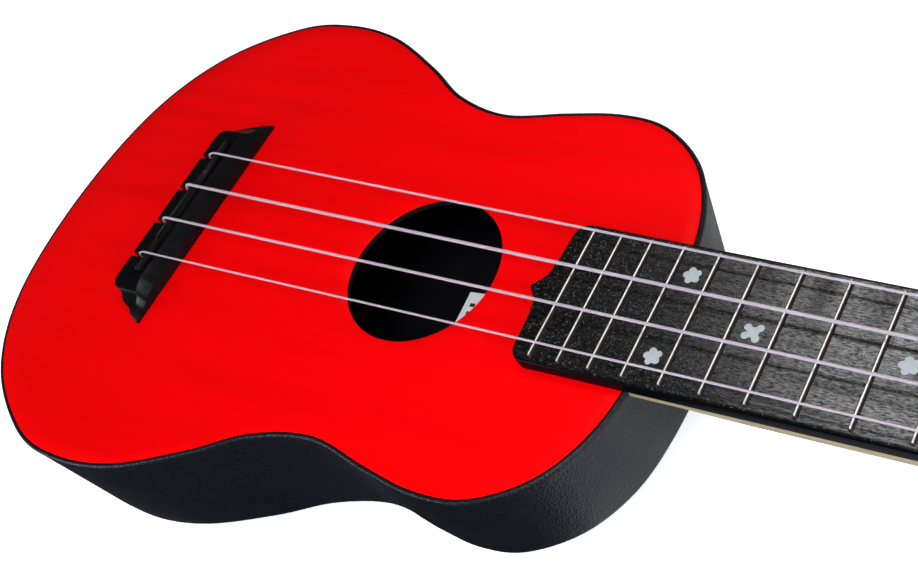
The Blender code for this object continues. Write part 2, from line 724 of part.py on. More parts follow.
def make_tuner_plate(name, side, parent, location, look):
    """The base plate with two lugs that carry the worm shaft."""
    back = -HEAD_THICKNESS
    top, bottom = back - GAP, back - GAP - 1.2
    bm = bmesh.new()
    box(bm, (-7.0, -8.6, bottom), (16.0, 8.6, top))
    plate = make_object(f"tuner_plate_{name}", bm, look, parent, location)
    for label, y in (("inner_lug", -6.2), ("outer_lug", 5.0)):
        lug = bmesh.new()
        box(lug, (WORM_OFFSET - 3.6, y, back + WORM_Z - 3.0), (WORM_OFFSET + 3.6, y + 1.2, top - 0.4))
        join(plate, lug, label, parent, location)
    shaft = bmesh.new()
    ring = [(x + WORM_OFFSET, z + back + WORM_Z) for x, z in circle(1.55, 12)]
    loft(shaft, [[(x, y, z) for x, z in ring] for y in (-12, 12)])
    cut(plate, shaft, "shaft_holes", parent, location)
    post = bmesh.new()
    prism(post, circle(POST_RADIUS + 0.3, 16), -40, 0)
    cut(plate, post, "post_hole", parent, location)
    screws = bmesh.new()
    for x in (-4.8, 13.4):
        prism(screws, circle(1.1, 10, x, -6.4 if x < 0 else 6.4), -40, 0)
    cut(plate, screws, "screw_holes", parent, location)


def make_tuners(head, metal, button_look):
    """Four machines, each round an empty that stands where its post meets the headstock's face."""
    for name, (place, _) in STRINGS.items():
        side = 1 if place > 0 else -1
        x, y = post_centre(name)
        post_frame = frame_empty(f"post_frame_{name}", head, (x, y, HEAD_FACE_Z))
        make_post(name, post_frame, (0, 0, 0), metal)
        make_gear(name, post_frame, (0, 0, -HEAD_THICKNESS + WORM_Z), metal)
        make_bushing(name, post_frame, (0, 0, 0), metal)
        make_tuner_plate(name, side, post_frame, (0, 0, 0), metal)
        worm_frame = frame_empty(f"worm_frame_{name}", post_frame, (WORM_OFFSET, 0, -HEAD_THICKNESS + WORM_Z))
        make_worm_shaft(name, side, worm_frame, (0, 0, 0), metal)
        make_button(name, side, worm_frame, (0, 0, 0), button_look)


# ---------------------------------------------------------------- strings


def head_to_drawing(x, y, z):
    """A point of the headstock's frame in the drawing frame."""
    point = Matrix.Rotation(math.radians(HEAD_TILT), 3, "Y") @ Vector((x, y, z))
    return Vector((point.x + SCALE + NUT_THICKNESS - 1.0, point.y, point.z))


def string_route(name):
    """From the knot in the bridge over saddle and nut, then round the post."""
    place, diameter = STRINGS[name]
    side = 1 if place > 0 else -1
    r = diameter / 2
    y_saddle, y_nut = place * STRING_SPACING_AT_SADDLE, place * STRING_SPACING_AT_NUT
    setback = SADDLE_SETBACK if abs(place) < 1 else 0.0
    bear = SADDLE_X - setback
    route = [
        Vector((-10.6, y_saddle, 1.9)),
        Vector((-9.9, y_saddle, 5.0)),
        Vector((-8.6, y_saddle, 7.9)),
        Vector((bear - 1.8, y_saddle, STRING_Z_AT_SADDLE - 0.55)),
        Vector((bear - 0.5, y_saddle, STRING_Z_AT_SADDLE - 0.1)),
        Vector((bear + 0.5, y_saddle, STRING_Z_AT_SADDLE)),
        Vector((SCALE + 0.4, y_nut, STRING_Z_AT_NUT + 0.1)),
        Vector((SCALE + 1.9, y_nut, STRING_Z_AT_NUT - 0.1)),
    ]
    x, y = post_centre(name)
    coil_radius = 2.75 + r + 0.1
    turns, steps = 2.5, 12
    start = math.atan2(-side, -0.25)
    top, bottom = 8.3 + HEAD_FACE_Z, 5.0 + HEAD_FACE_Z
    for k in range(int(turns * steps) + 1):
        a = start + side * 2 * math.pi * k / steps
        z = top + (bottom - top) * k / (turns * steps)
        route.append(head_to_drawing(x + coil_radius * math.cos(a), y + coil_radius * math.sin(a), z))
    return route


def make_string(name, root, look):
    """A tube along the string's route, with its knot."""
    diameter = STRINGS[name][1]
    route = string_route(name)
    bm = bmesh.new()
    rings = []
    sides = 6
    normal = Vector((0, 1, 0))
    for i, point in enumerate(route):
        before, after = route[max(i - 1, 0)], route[min(i + 1, len(route) - 1)]
        along = (after - before).normalized()
        normal = (normal - along * normal.dot(along)).normalized()
        across = along.cross(normal)
        turns = [2 * math.pi * k / sides for k in range(sides)]
        rings.append([point + (normal * math.cos(a) + across * math.sin(a)) * diameter / 2 for a in turns])
    loft(bm, rings)
    string = make_object(f"string_{name}", bm, look, root, smooth=True)
    knot = bmesh.new()
    bmesh.ops.create_icosphere(knot, subdivisions=1, radius=1.25, matrix=Matrix.Translation(route[0]))
    join(string, knot, "knot")


# ---------------------------------------------------------------- the whole instrument


def main():
    clear_scene()
    root = frame_empty("instrument", None, (-MIDDLE_X, 0, TOP_Z))
    head = frame_empty("headstock_frame", root, (SCALE + NUT_THICKNESS - 1.0, 0, 0), HEAD_TILT)
    black = material("black_plastic", (0.02, 0.02, 0.023), 0.5)
    black_gloss = material("black_bridge", (0.012, 0.012, 0.014), 0.3)
    red = material("red_stain", (0.9, 0.005, 0.01), 0.4)
    pale_wood = material("pale_wood", (0.62, 0.45, 0.26), 0.55)
    spruce = material("bare_wood", (0.7, 0.55, 0.35), 0.8)
    nickel = material("nickel", (0.75, 0.72, 0.68), 0.25, 1.0)
    pearl = material("marker_plastic", (0.62, 0.66, 0.68), 0.5)
    nylon = material("clear_nylon", (0.8, 0.8, 0.82), 0.3)
    paper = material("paper", (0.8, 0.84, 0.88), 0.8)

    make_body_shell(root, black)
    make_soundboard(root, red)
    make_inner_timber(root, spruce)
    make_label(root, paper)
    make_bridge(root, black_gloss)
    make_saddle(root, black_gloss)
    make_neck(root, head, pale_wood)
    make_fingerboard(root, black, pearl)
    make_frets(root, nickel)
    make_nut(root, black_gloss)
    make_tuners(head, nickel, black)
    for name in STRINGS:
        make_string(name, root, nylon)


main()
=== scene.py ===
"""A soprano travel ukulele: the finished surfaces, materials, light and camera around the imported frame.

Geometry is drawn in millimetres in the instrument's drawing frame: x from the saddle line towards the
headstock, y towards the bass side, z up from the soundboard's upper face. ORIGIN carries that frame into the
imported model's.
"""

import json
import math

import bmesh
import bpy
from mathutils import Matrix, Vector

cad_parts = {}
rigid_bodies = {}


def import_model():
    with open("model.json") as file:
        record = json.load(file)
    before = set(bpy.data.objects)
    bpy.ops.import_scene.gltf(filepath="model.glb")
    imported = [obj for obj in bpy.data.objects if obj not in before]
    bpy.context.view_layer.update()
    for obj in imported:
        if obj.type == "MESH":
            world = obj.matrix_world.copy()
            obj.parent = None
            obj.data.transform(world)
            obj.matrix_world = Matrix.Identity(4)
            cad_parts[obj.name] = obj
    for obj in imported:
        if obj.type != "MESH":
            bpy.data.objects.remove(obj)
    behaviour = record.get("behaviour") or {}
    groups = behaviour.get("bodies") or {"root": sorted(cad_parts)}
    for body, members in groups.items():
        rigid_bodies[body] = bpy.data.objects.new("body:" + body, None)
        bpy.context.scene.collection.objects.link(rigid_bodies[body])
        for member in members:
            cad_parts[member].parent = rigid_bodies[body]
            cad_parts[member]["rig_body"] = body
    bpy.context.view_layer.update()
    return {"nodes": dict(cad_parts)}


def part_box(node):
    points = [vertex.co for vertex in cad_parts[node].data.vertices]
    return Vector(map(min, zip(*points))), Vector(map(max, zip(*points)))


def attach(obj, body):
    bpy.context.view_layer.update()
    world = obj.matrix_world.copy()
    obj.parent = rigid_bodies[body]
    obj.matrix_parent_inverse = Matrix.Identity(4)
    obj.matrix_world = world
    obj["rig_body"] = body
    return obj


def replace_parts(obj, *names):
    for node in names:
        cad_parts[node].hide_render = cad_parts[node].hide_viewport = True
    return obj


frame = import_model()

NODES = frame["nodes"]
MM = 0.001

SCALE = 350.0  # nut to saddle
FRET_COUNT = 15
FRET_INSET = 1.5
SADDLE_X = -4.6
SADDLE_SETBACK = 1.0
STRING_SPACING_AT_SADDLE = 14.1
STRING_SPACING_AT_NUT = 9.75
STRING_Z_AT_SADDLE = 9.7
STRING_Z_AT_NUT = 5.7
# each string's place in string spacings from the middle, and its diameter
STRINGS = {"g": (1.5, 0.72), "c": (0.5, 1.0), "e": (-0.5, 0.86), "a": (-1.5, 0.64)}

ORIGIN = Vector((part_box("nut")[0].x - SCALE * MM, 0.0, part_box("soundboard")[1].z))
BOARD_TOP = (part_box("fingerboard")[1].z - ORIGIN.z) / MM
BOARD_HALF_AT_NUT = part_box("nut")[1].y / MM
BOARD_HALF_AT_BODY = 22.0
BOARD_TIP_X = 135.8
BOARD_EDGE_RADIUS = 0.9
RIM = 1.35  # how far the tub reaches past the soundboard
WALL = 2.4
TOP_THICKNESS = 2.0
DRAFT = 4.0  # how far its side leans in on the way to the back
BACK_EDGE_RADIUS = 3.0
BODY_END_X = 175.0
SOUNDHOLE_X = 95.8
SOUNDHOLE_RADIUS = 25.1
OUTLINE_POINTS = 256

BODY_HALF_OUTLINE = [
    (-68.2, 0.0),
    (-62.7, 41.0),
    (-45.6, 69.4),
    (-18.0, 87.0),
    (5.0, 90.4),
    (28.5, 86.3),
    (52.6, 74.7),
    (70.8, 63.9),
    (92.0, 58.6),
    (114.0, 61.9),
    (132.0, 63.8),
    (148.0, 61.2),
    (163.0, 50.4),
    (171.9, 34.0),
    (BODY_END_X, 14.0),
]
BODY_MIDDLE = Vector((50.0, 0.0))
BACK_DEPTH = 61.7
BACK_SLOPE = 13.0
BACK_CROWN = 17.0

HEAD_TILT = 12.0
HEAD_ORIGIN = Vector((SCALE + 3.0, 0.0, 0.0))
HEAD_FACE_Z = -1.0
HEAD_THICKNESS = 13.0
HEAD_BACK_Z = HEAD_FACE_Z - HEAD_THICKNESS
HEAD_LENGTH = 113.0
HEAD_HALF_OUTLINE = [(0, 18.2), (8, 18.6), (18, 22.5), (27, 26), (50, 26.6), (80, 28.2), (98, 29.6)]
HEAD_HALF_OUTLINE += [(106, 28.6), (HEAD_LENGTH - 2.2, 22.0), (HEAD_LENGTH, 10.0)]
POST_Y = 18.5
POST_X = {"g": 34.0, "c": 68.0, "e": 68.0, "a": 34.0}
POST_RADIUS = 3.0
GEAR_TEETH = 14
GEAR_PITCH_RADIUS = 4.2
WORM_PITCH_RADIUS = 2.1
WORM_OFFSET = GEAR_PITCH_RADIUS + WORM_PITCH_RADIUS
WORM_PITCH = 2 * math.pi * GEAR_PITCH_RADIUS / GEAR_TEETH
WORM_Z = HEAD_BACK_Z - 5.0
SHAFT_RADIUS = 1.35
THREAD_HALF_LENGTH = 3.5
GEAR_HALF_WIDTH = 1.4
KNOT_X = -10.6


# ---------------------------------------------------------------- materials


class Look:
    """A Principled material with helpers for procedural detail, in object space and in metres."""

    def __init__(self, name, colour, roughness, metallic=0.0, specular=0.5):
        self.material = bpy.data.materials.new(name)
        self.material.use_nodes = True
        self.tree = self.material.node_tree
        self.shader = self.tree.nodes["Principled BSDF"]
        self.set("Base Color", (*colour, 1))
        self.set("Roughness", roughness)
        self.set("Metallic", metallic)
        self.set("Specular IOR Level", specular)
        self.where = self.node("ShaderNodeTexCoord").outputs["Object"]

    def set(self, socket, value):
        self.shader.inputs[socket].default_value = value
        return self

    def node(self, kind):
        return self.tree.nodes.new(kind)

    def link(self, output, socket):
        self.tree.links.new(output, socket)
        return self

    def stretched(self, scale):
        mapping = self.node("ShaderNodeMapping")
        mapping.inputs["Scale"].default_value = scale
        self.link(self.where, mapping.inputs["Vector"])
        return mapping.outputs["Vector"]

    def noise(self, scale, detail=3.0, roughness=0.5, distortion=0.0, stretch=(1, 1, 1)):
        made = self.node("ShaderNodeTexNoise")
        values = {"Scale": scale, "Detail": detail, "Roughness": roughness, "Distortion": distortion}
        for key, value in values.items():
            made.inputs[key].default_value = value
        self.link(self.stretched(stretch), made.inputs["Vector"])
        return made.outputs["Fac"]

    def cells(self, scale, stretch=(1, 1, 1)):
        made = self.node("ShaderNodeTexVoronoi")
        made.inputs["Scale"].default_value = scale
        self.link(self.stretched(stretch), made.inputs["Vector"])
        return made.outputs["Distance"]

    def ramp(self, value, stops):
        made = self.node("ShaderNodeValToRGB")
        ramp = made.color_ramp
        while len(ramp.elements) < len(stops):
            ramp.elements.new(0.5)
        for element, (place, colour) in zip(ramp.elements, stops):
            element.position = place
            element.color = (*colour, 1) if isinstance(colour, tuple) else (colour, colour, colour, 1)
        self.link(value, made.inputs["Fac"])
        return made.outputs["Color"]

    def mix(self, factor, a, b, blend="MIX"):
        made = self.node("ShaderNodeMix")
        made.data_type = "RGBA"
        made.blend_type = blend
        for socket, value in ((0, factor), (6, a), (7, b)):
            if isinstance(value, (int, float)):
                made.inputs[socket].default_value = value if socket == 0 else (value, value, value, 1)
            elif isinstance(value, tuple):
                made.inputs[socket].default_value = (*value, 1)
            else:
                self.link(value, made.inputs[socket])
        return made.outputs[2]

    def math(self, operation, a, b=0.0):
        made = self.node("ShaderNodeMath")
        made.operation = operation
        for socket, value in zip(made.inputs, (a, b)):
            if isinstance(value, (int, float)):
                socket.default_value = value
            else:
                self.link(value, socket)
        return made.outputs[0]

    def upward(self):
        """How far the surface faces up, from 1 for level to 0 for upright."""
        facing = self.node("ShaderNodeSeparateXYZ")
        self.link(self.node("ShaderNodeNewGeometry").outputs["Normal"], facing.inputs[0])
        return facing.outputs["Z"]

    def colour(self, output):
        return self.link(output, self.shader.inputs["Base Color"])

    def rough(self, value, low, high):
        return self.link(self.ramp(value, [(0.3, low), (0.7, high)]), self.shader.inputs["Roughness"])

    def bump(self, height, distance, strength):
        made = self.node("ShaderNodeBump")
        made.inputs["Strength"].default_value = strength
        made.inputs["Distance"].default_value = distance
        self.link(height, made.inputs["Height"])
        before = self.shader.inputs["Normal"].links
        if before:
            self.link(before[0].from_socket, made.inputs["Normal"])
        return self.link(made.outputs["Normal"], self.shader.inputs["Normal"])


def look_red_top():
    """Red stain on plywood under thin lacquer: faint darker streaks along the grain."""
    look = Look("red_lacquered_ply", (0.87, 0.0003, 0.0014), 0.42, specular=0.035)
    streaks = look.noise(1.0, 4, 0.6, 0.3, (7, 110, 60))
    broad = look.noise(1.0, 2, 0.5, 0.2, (4, 26, 10))
    pores = look.noise(1.0, 3, 0.6, 0.0, (60, 1400, 900))
    grain = [(0.3, (0.79, 0.0002, 0.0012)), (0.5, (0.865, 0.0003, 0.0014)), (0.7, (0.885, 0.0003, 0.0016))]
    tone = look.ramp(broad, [(0.3, (0.95, 0.8, 0.8)), (0.6, (1.0, 1.0, 1.0))])
    look.colour(look.mix(0.8, look.ramp(streaks, grain), tone, "MULTIPLY"))
    look.rough(pores, 0.3, 0.4)
    look.bump(pores, 0.00002, 0.2)
    return look.material


def look_ply_edge():
    """The cut edge and underside of the top, nearly black where the stain has soaked in."""
    look = Look("stained_ply_edge", (0.012, 0.008, 0.007), 0.7, specular=0.04)
    plies = look.noise(1.0, 2, 0.5, 0.0, (150, 150, 2600))
    look.colour(look.ramp(plies, [(0.35, (0.004, 0.003, 0.003)), (0.65, (0.013, 0.008, 0.007))]))
    look.bump(plies, 0.00005, 0.4)
    return look.material


def look_tub():
    """Black moulded plastic with a fine leather grain, with painted shade that makes it darkest in each crease
    of the grain.
    """
    look = Look("leather_grained_plastic", (0.012, 0.0125, 0.0145), 0.5, specular=0.28)
    warp = look.noise(420, 3, 0.55)
    cells = look.cells(1500, (1.0, 1.0, 0.55))
    crease_depth_and_shade = look.math("ADD", look.math("MULTIPLY", cells, 0.8), look.math("MULTIPLY", warp, 0.7))
    # painted shade: the colour is darkest in each crease of the grain
    look.colour(look.ramp(crease_depth_and_shade, [(0.35, (0.0009, 0.0009, 0.0018)), (0.8, (0.0058, 0.0059, 0.0095))]))
    look.rough(look.noise(60, 3), 0.42, 0.52)
    look.bump(crease_depth_and_shade, 0.0002, 0.9)
    return look.material


def look_board():
    """Black moulded fingerboard: short wood-like pores and a fine speckle on its face, with painted glints in
    the speckle, smooth sides.
    """
    look = Look("wood_grained_plastic", (0.012, 0.012, 0.012), 0.3, specular=0.5)
    face = look.ramp(look.upward(), [(0.82, 0.0), (0.97, 1.0)])
    pores = look.noise(1.0, 4, 0.7, 0.1, (620, 3000, 800))
    bands = look.noise(1.0, 3, 0.6, 0.25, (18, 420, 300))
    dots = look.ramp(look.cells(2900), [(0.10, 1.0), (0.34, 0.0)])
    grit_and_glints = look.math("MULTIPLY", dots, look.ramp(look.noise(1300, 2), [(0.46, 0.0), (0.62, 1.0)]))
    base = look.ramp(pores, [(0.40, (0.0006, 0.0007, 0.0006)), (0.60, (0.0038, 0.0042, 0.0036))])
    # painted glints: sparse bright dots in the base colour that stand in for sparkle highlights
    painted_glints = look.ramp(grit_and_glints, [(0.1, 0.0), (0.9, 0.24)])
    plain = (0.0016, 0.0017, 0.0024)
    look.colour(look.mix(face, plain, look.mix(1.0, base, painted_glints, "ADD")))
    banded = look.ramp(bands, [(0.35, 0.5), (0.5, 1.0)])
    shine = look.math("MULTIPLY", look.ramp(pores, [(0.41, 0.15), (0.55, 0.9)]), banded)
    look.link(look.mix(face, 0.03, shine), look.shader.inputs["Specular IOR Level"])
    look.rough(pores, 0.26, 0.22)
    look.bump(look.math("MULTIPLY", pores, face), 0.00001, 0.5)
    look.bump(look.math("MULTIPLY", grit_and_glints, face), 0.00004, 0.7)
    return look.material


def look_black_gloss(name="satin_black_plastic", roughness=0.27):
    look = Look(name, (0.003, 0.003, 0.0034), roughness, specular=0.22)
    tones = [(0.35, (0.0022, 0.0022, 0.0027)), (0.7, (0.0035, 0.0035, 0.0041))]
    look.colour(look.ramp(look.noise(90, 3), tones))
    look.rough(look.noise(300, 4), roughness - 0.05, roughness + 0.07)
    look.bump(look.noise(2600, 3), 0.00002, 0.3)
    return look.material


def look_wood(name, dark, light, pore, roughness=0.55):
    """Open-pored timber with its grain along x."""
    look = Look(name, light, roughness, specular=0.3)
    figure = look.noise(1.0, 5, 0.6, 0.6, (7, 95, 95))
    fibres = look.noise(1.0, 4, 0.65, 0.1, (55, 1300, 1300))
    pores = look.noise(1.0, 2, 0.5, 0.0, (140, 2600, 2600))
    wood = look.ramp(figure, [(0.3, dark), (0.68, light)])
    fine = look.ramp(fibres, [(0.3, 0.72), (0.6, 1.0)])
    toned = look.mix(0.75, wood, fine, "MULTIPLY")
    dots = look.ramp(pores, [(0.28, 0.0), (0.36, 1.0)])
    look.colour(look.mix(look.math("SUBTRACT", 1.0, dots), toned, pore))
    look.rough(fibres, roughness - 0.06, roughness + 0.1)
    look.bump(fibres, 0.00004, 0.4)
    look.bump(pores, 0.00004, 0.35)
    return look.material


def look_metal(name, colour, roughness):
    """Plated metal with light handling wear."""
    look = Look(name, colour, roughness, 1.0)
    wear = look.noise(70, 4, 0.6)
    shade = tuple(0.82 * c for c in colour)
    look.colour(look.ramp(wear, [(0.3, shade), (0.6, colour)]))
    look.rough(wear, roughness, roughness + 0.12)
    look.bump(look.noise(900, 3, 0.6), 0.00001, 0.35)
    return look.material


def look_fret():
    """Fret wire, painted bright where it faces up and dark on its sides: a painted highlight on top and
    painted shade on the flanks.
    """
    look = Look("fret_wire", (0.97, 0.87, 0.84), 0.28, 0.5)
    # painted highlight where the wire faces up and painted shade on its flanks, by the surface's tilt
    painted_highlight_and_shade = look.ramp(look.upward(), [(0.80, (0.05, 0.035, 0.035)), (0.93, (0.97, 0.87, 0.84))])
    wear = look.ramp(look.noise(300, 3, 0.6), [(0.3, 0.85), (0.6, 1.0)])
    look.colour(look.mix(1.0, painted_highlight_and_shade, wear, "MULTIPLY"))
    return look.material


def look_string():
    """Clear monofilament that the light passes into."""
    look = Look("clear_monofilament", (0.74, 0.65, 0.72), 0.35, specular=0.3)
    look.set("Transmission Weight", 0.5).set("IOR", 1.3)
    tone = look.noise(1.0, 2, 0.5, 0.0, (30, 200, 200))
    look.colour(look.ramp(tone, [(0.3, (0.68, 0.60, 0.67)), (0.7, (0.78, 0.69, 0.76))]))
    look.rough(look.noise(200, 2), 0.3, 0.4)
    return look.material


def look_marker():
    look = Look("printed_marker", (0.4, 0.45, 0.47), 0.5, specular=0.25)
    look.colour(look.ramp(look.noise(900, 4, 0.6), [(0.3, (0.36, 0.41, 0.43)), (0.7, (0.44, 0.49, 0.51))]))
    look.rough(look.noise(1500, 3), 0.45, 0.6)
    look.bump(look.noise(3200, 3), 0.00003, 0.35)
    return look.material


def look_paper():
    """Pale paper. A faint glow stands for the daylight that falls through the soundhole."""
    look = Look("label_paper", (0.74, 0.79, 0.84), 0.8, specular=0.15)
    look.colour(look.ramp(look.noise(600, 5, 0.65), [(0.3, (0.80, 0.86, 0.90)), (0.7, (0.86, 0.92, 0.96))]))
    look.bump(look.noise(2400, 4), 0.00003, 0.5)
    look.set("Emission Color", (0.85, 0.92, 1.0, 1)).set("Emission Strength", 0.16)
    return look.material


def look_ink():
    look = Look("label_ink", (0.03, 0.03, 0.035), 0.7, specular=0.15)
    look.colour(look.ramp(look.noise(900, 4), [(0.3, (0.02, 0.02, 0.025)), (0.7, (0.06, 0.06, 0.065))]))
    return look.material


LOOKS = {
    "red": look_red_top(),
    "edge": look_ply_edge(),
    "tub": look_tub(),
    "board": look_board(),
    "bridge": look_black_gloss(),
    "button": look_black_gloss("gloss_black_button", 0.18),
    "neck": look_wood("pale_neck_timber", (0.30, 0.235, 0.13), (0.40, 0.325, 0.185), (0.16, 0.11, 0.05)),
    "brace": look_wood("bare_brace_timber", (0.55, 0.4, 0.22), (0.7, 0.54, 0.33), (0.36, 0.24, 0.12), 0.75),
    "fret": look_fret(),
    "nickel": look_metal("nickel_plate", (0.78, 0.76, 0.73), 0.2),
    "gear": look_metal("machined_brass", (0.72, 0.6, 0.36), 0.28),
    "string": look_string(),
    "marker": look_marker(),
    "paper": look_paper(),
    "ink": look_ink(),
}


# ---------------------------------------------------------------- mesh tools


def to_frame(point):
    return ORIGIN + Vector(point) * MM


def head_point(point):
    """A point of the headstock's frame in the drawing frame."""
    return Matrix.Rotation(math.radians(HEAD_TILT), 3, "Y") @ Vector(point) + HEAD_ORIGIN


def link_object(name, data):
    made = bpy.data.objects.new(name, data)
    bpy.context.scene.collection.objects.link(made)
    return made


def mesh_object(name, bm):
    mesh = bpy.data.meshes.new(name)
    bm.to_mesh(mesh)
    bm.free()
    return link_object(name, mesh)


def shade(piece, angle):
    """Smooth shading, broken at edges sharper than angle degrees."""
    piece.data.shade_smooth()
    piece.data.set_sharp_from_angle(angle=math.radians(angle))


def add_piece(name, bm, look, body="instrument", replaces=(), tilted=None, angle=35):
    """Turns a bmesh in millimetres into a piece; tilted is its origin in the headstock's frame, if any."""
    for vertex in bm.verts:
        place = vertex.co
        if tilted is not None:
            place = head_point(Vector(tilted) + place)
        vertex.co = to_frame(place)
    bmesh.ops.recalc_face_normals(bm, faces=bm.faces)
    piece = mesh_object(name, bm)
    for one in [look] if isinstance(look, str) else look:
        piece.data.materials.append(LOOKS[one])
    shade(piece, angle)
    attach(piece, body)
    if replaces:
        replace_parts(piece, *replaces)
    return piece


def loft(bm, rings, ends=True, loop=False):
    """Joins rings of equally many points; ends caps the first and last, loop joins them to each other."""
    loops = [[bm.verts.new(p) for p in ring] for ring in rings]
    pairs = list(zip(loops, loops[1:])) + ([(loops[-1], loops[0])] if loop else [])
    for a, b in pairs:
        for i in range(len(a)):
            j = (i + 1) % len(a)
            bm.faces.new((a[i], a[j], b[j], b[i]))
    if ends and not loop:
        bm.faces.new(loops[0][::-1])
        bm.faces.new(loops[-1])
    return loops


def solid(rings, loop=False):
    """A new bmesh with the rings lofted."""
    bm = bmesh.new()
    loft(bm, rings, loop=loop)
    return bm


def prism(bm, outline, low, high):
    return loft(bm, [[(x, y, z) for x, y in outline] for z in (low, high)])


def box(bm, low, high):
    (x0, y0, z0), (x1, y1, z1) = low, high
    prism(bm, [(x0, y0), (x1, y0), (x1, y1), (x0, y1)], z0, z1)


def circle(radius, count, x=0.0, y=0.0):
    turn = 2 * math.pi / count
    return [(x + radius * math.cos(turn * i), y + radius * math.sin(turn * i)) for i in range(count)]


def rounded_profile(profile, radius):
    """An open profile of (radius, height) points with each inner corner replaced by a small curve."""
    steps = 3
    points = [Vector(profile[0])]
    for a, b, c in zip(profile, profile[1:], profile[2:]):
        a, b, c = Vector(a), Vector(b), Vector(c)
        reach = min(radius, 0.45 * (b - a).length, 0.45 * (c - b).length)
        start, end = b + (a - b).normalized() * reach, b + (c - b).normalized() * reach
        for i in range(steps + 1):
            t = i / steps
            points.append(start * (1 - t) ** 2 + b * 2 * t * (1 - t) + end * t**2)
    points.append(Vector(profile[-1]))
    return [tuple(p) for p in points]


def turned(bm, profile, count, loop=False):
    loft(bm, [[(x, y, height) for x, y in circle(radius, count)] for radius, height in profile], loop=loop)


def boolean(piece, bm, name, tilted=False, operation="DIFFERENCE"):
    """Cuts the bmesh out of the piece, or unites the two, and keeps only the result."""
    for vertex in bm.verts:
        vertex.co = to_frame(head_point(vertex.co) if tilted else vertex.co)
    bmesh.ops.recalc_face_normals(bm, faces=bm.faces)
    cutter = mesh_object(name, bm)
    modifier = piece.modifiers.new(name, "BOOLEAN")
    modifier.operation = operation
    modifier.solver = "EXACT"
    modifier.object = cutter
    bpy.context.view_layer.update()
    evaluated = piece.evaluated_get(bpy.context.evaluated_depsgraph_get())
    result = bpy.data.meshes.new_from_object(evaluated)
    piece.modifiers.remove(modifier)
    piece.data = result
    bpy.data.objects.remove(cutter)


def cut_boxes(piece, name, corners, tilted=False):
    """Cuts out boxes, each given by its low and its high corner."""
    bm = bmesh.new()
    for low, high in corners:
        box(bm, low, high)
    boolean(piece, bm, name, tilted)


def catmull_rom(points, steps, closed=True):
    """A smooth curve through the points."""
    vectors = [Vector(p) for p in points]
    last = len(points) - 1
    curve = []
    for i in range(last + 1 if closed else last):
        near = range(i - 1, i + 3)
        p0, p1, p2, p3 = (vectors[k % (last + 1) if closed else min(max(k, 0), last)] for k in near)
        for s in range(steps):
            t = s / steps
            cubic = (3 * p1 - p0 - 3 * p2 + p3) * t**3
            curve.append(0.5 * (2 * p1 + (p2 - p0) * t + (2 * p0 - 5 * p1 + 4 * p2 - p3) * t**2 + cubic))
    return curve if closed else curve + [vectors[-1]]


def spread_evenly(curve, count):
    """A closed curve again, as count points at equal distances."""
    lengths = [0.0]
    for a, b in zip(curve, curve[1:] + curve[:1]):
        lengths.append(lengths[-1] + (b - a).length)
    points, k = [], 0
    for i in range(count):
        target = lengths[-1] * i / count
        while lengths[k + 1] < target:
            k += 1
        t = (target - lengths[k]) / (lengths[k + 1] - lengths[k])
        points.append(curve[k].lerp(curve[(k + 1) % len(curve)], t))
    return points


def tube(bm, route, radius, sides):
    """A round tube along the route, with rounded ends."""
    rings = []
    normal = Vector((0, 1, 0.001))
    last = len(route) - 1
    turns = [2 * math.pi * k / sides for k in range(sides)]
    for i, point in enumerate(route):
        along = (route[min(i + 1, last)] - route[max(i - 1, 0)]).normalized()
        normal = (normal - along * normal.dot(along)).normalized()
        across = along.cross(normal)
        steps = [(1.0, 0.0)]  # each ring's share of the radius, and its shift along the route in radii
        if i == 0:
            steps = [(0.35, -0.9), (0.75, -0.55)] + steps
        if i == last:
            steps += [(0.75, 0.55), (0.35, 0.9)]
        for share, shift in steps:
            at = point + along * shift * radius
            rings.append([at + (normal * math.cos(a) + across * math.sin(a)) * radius * share for a in turns])
    loft(bm, rings)


# ---------------------------------------------------------------- body


def body_outline(offset):
    """The soundboard's outline moved outwards by offset, as OUTLINE_POINTS evenly spaced points."""
    mirrored = [(x, -y) for x, y in BODY_HALF_OUTLINE[:0:-1]]
    fine = spread_evenly(catmull_rom(BODY_HALF_OUTLINE + mirrored, 24), OUTLINE_POINTS)
    moved = []
    for i, point in enumerate(fine):
        along = (fine[(i + 1) % OUTLINE_POINTS] - fine[i - 1]).normalized()
        moved.append(point + Vector((-along.y, along.x)) * offset)
    return moved


REST_DEPTH = ORIGIN.z / MM  # the back is flat where it would be deeper


def back_z(x, y):
    """Height of the arched back, which rises to both sides and ends and slopes up towards the neck."""
    along, across = (x - BODY_MIDDLE.x) / 120.0, y / 90.0
    bend = 6.5 if along > 0 else 7.0
    depth = BACK_DEPTH - BACK_SLOPE * along - BACK_CROWN * across**2 - bend * along**2
    return -min(depth, REST_DEPTH)


def flat_ring(offset, z):
    return [(p.x, p.y, z) for p in body_outline(offset)]


def side_ring(offset, share, lift=0.0):
    """A ring round the body at a share of the way from the rim down to the back."""
    return [(p.x, p.y, share * back_z(p.x, p.y) + lift) for p in body_outline(offset)]


def back_ring(edge_offset, share, lift):
    """A ring on the back at a share of the way from its middle out to its edge."""
    points = [BODY_MIDDLE + (p - BODY_MIDDLE) * share for p in body_outline(edge_offset)]
    return [(p.x, p.y, back_z(p.x, p.y) + lift) for p in points]


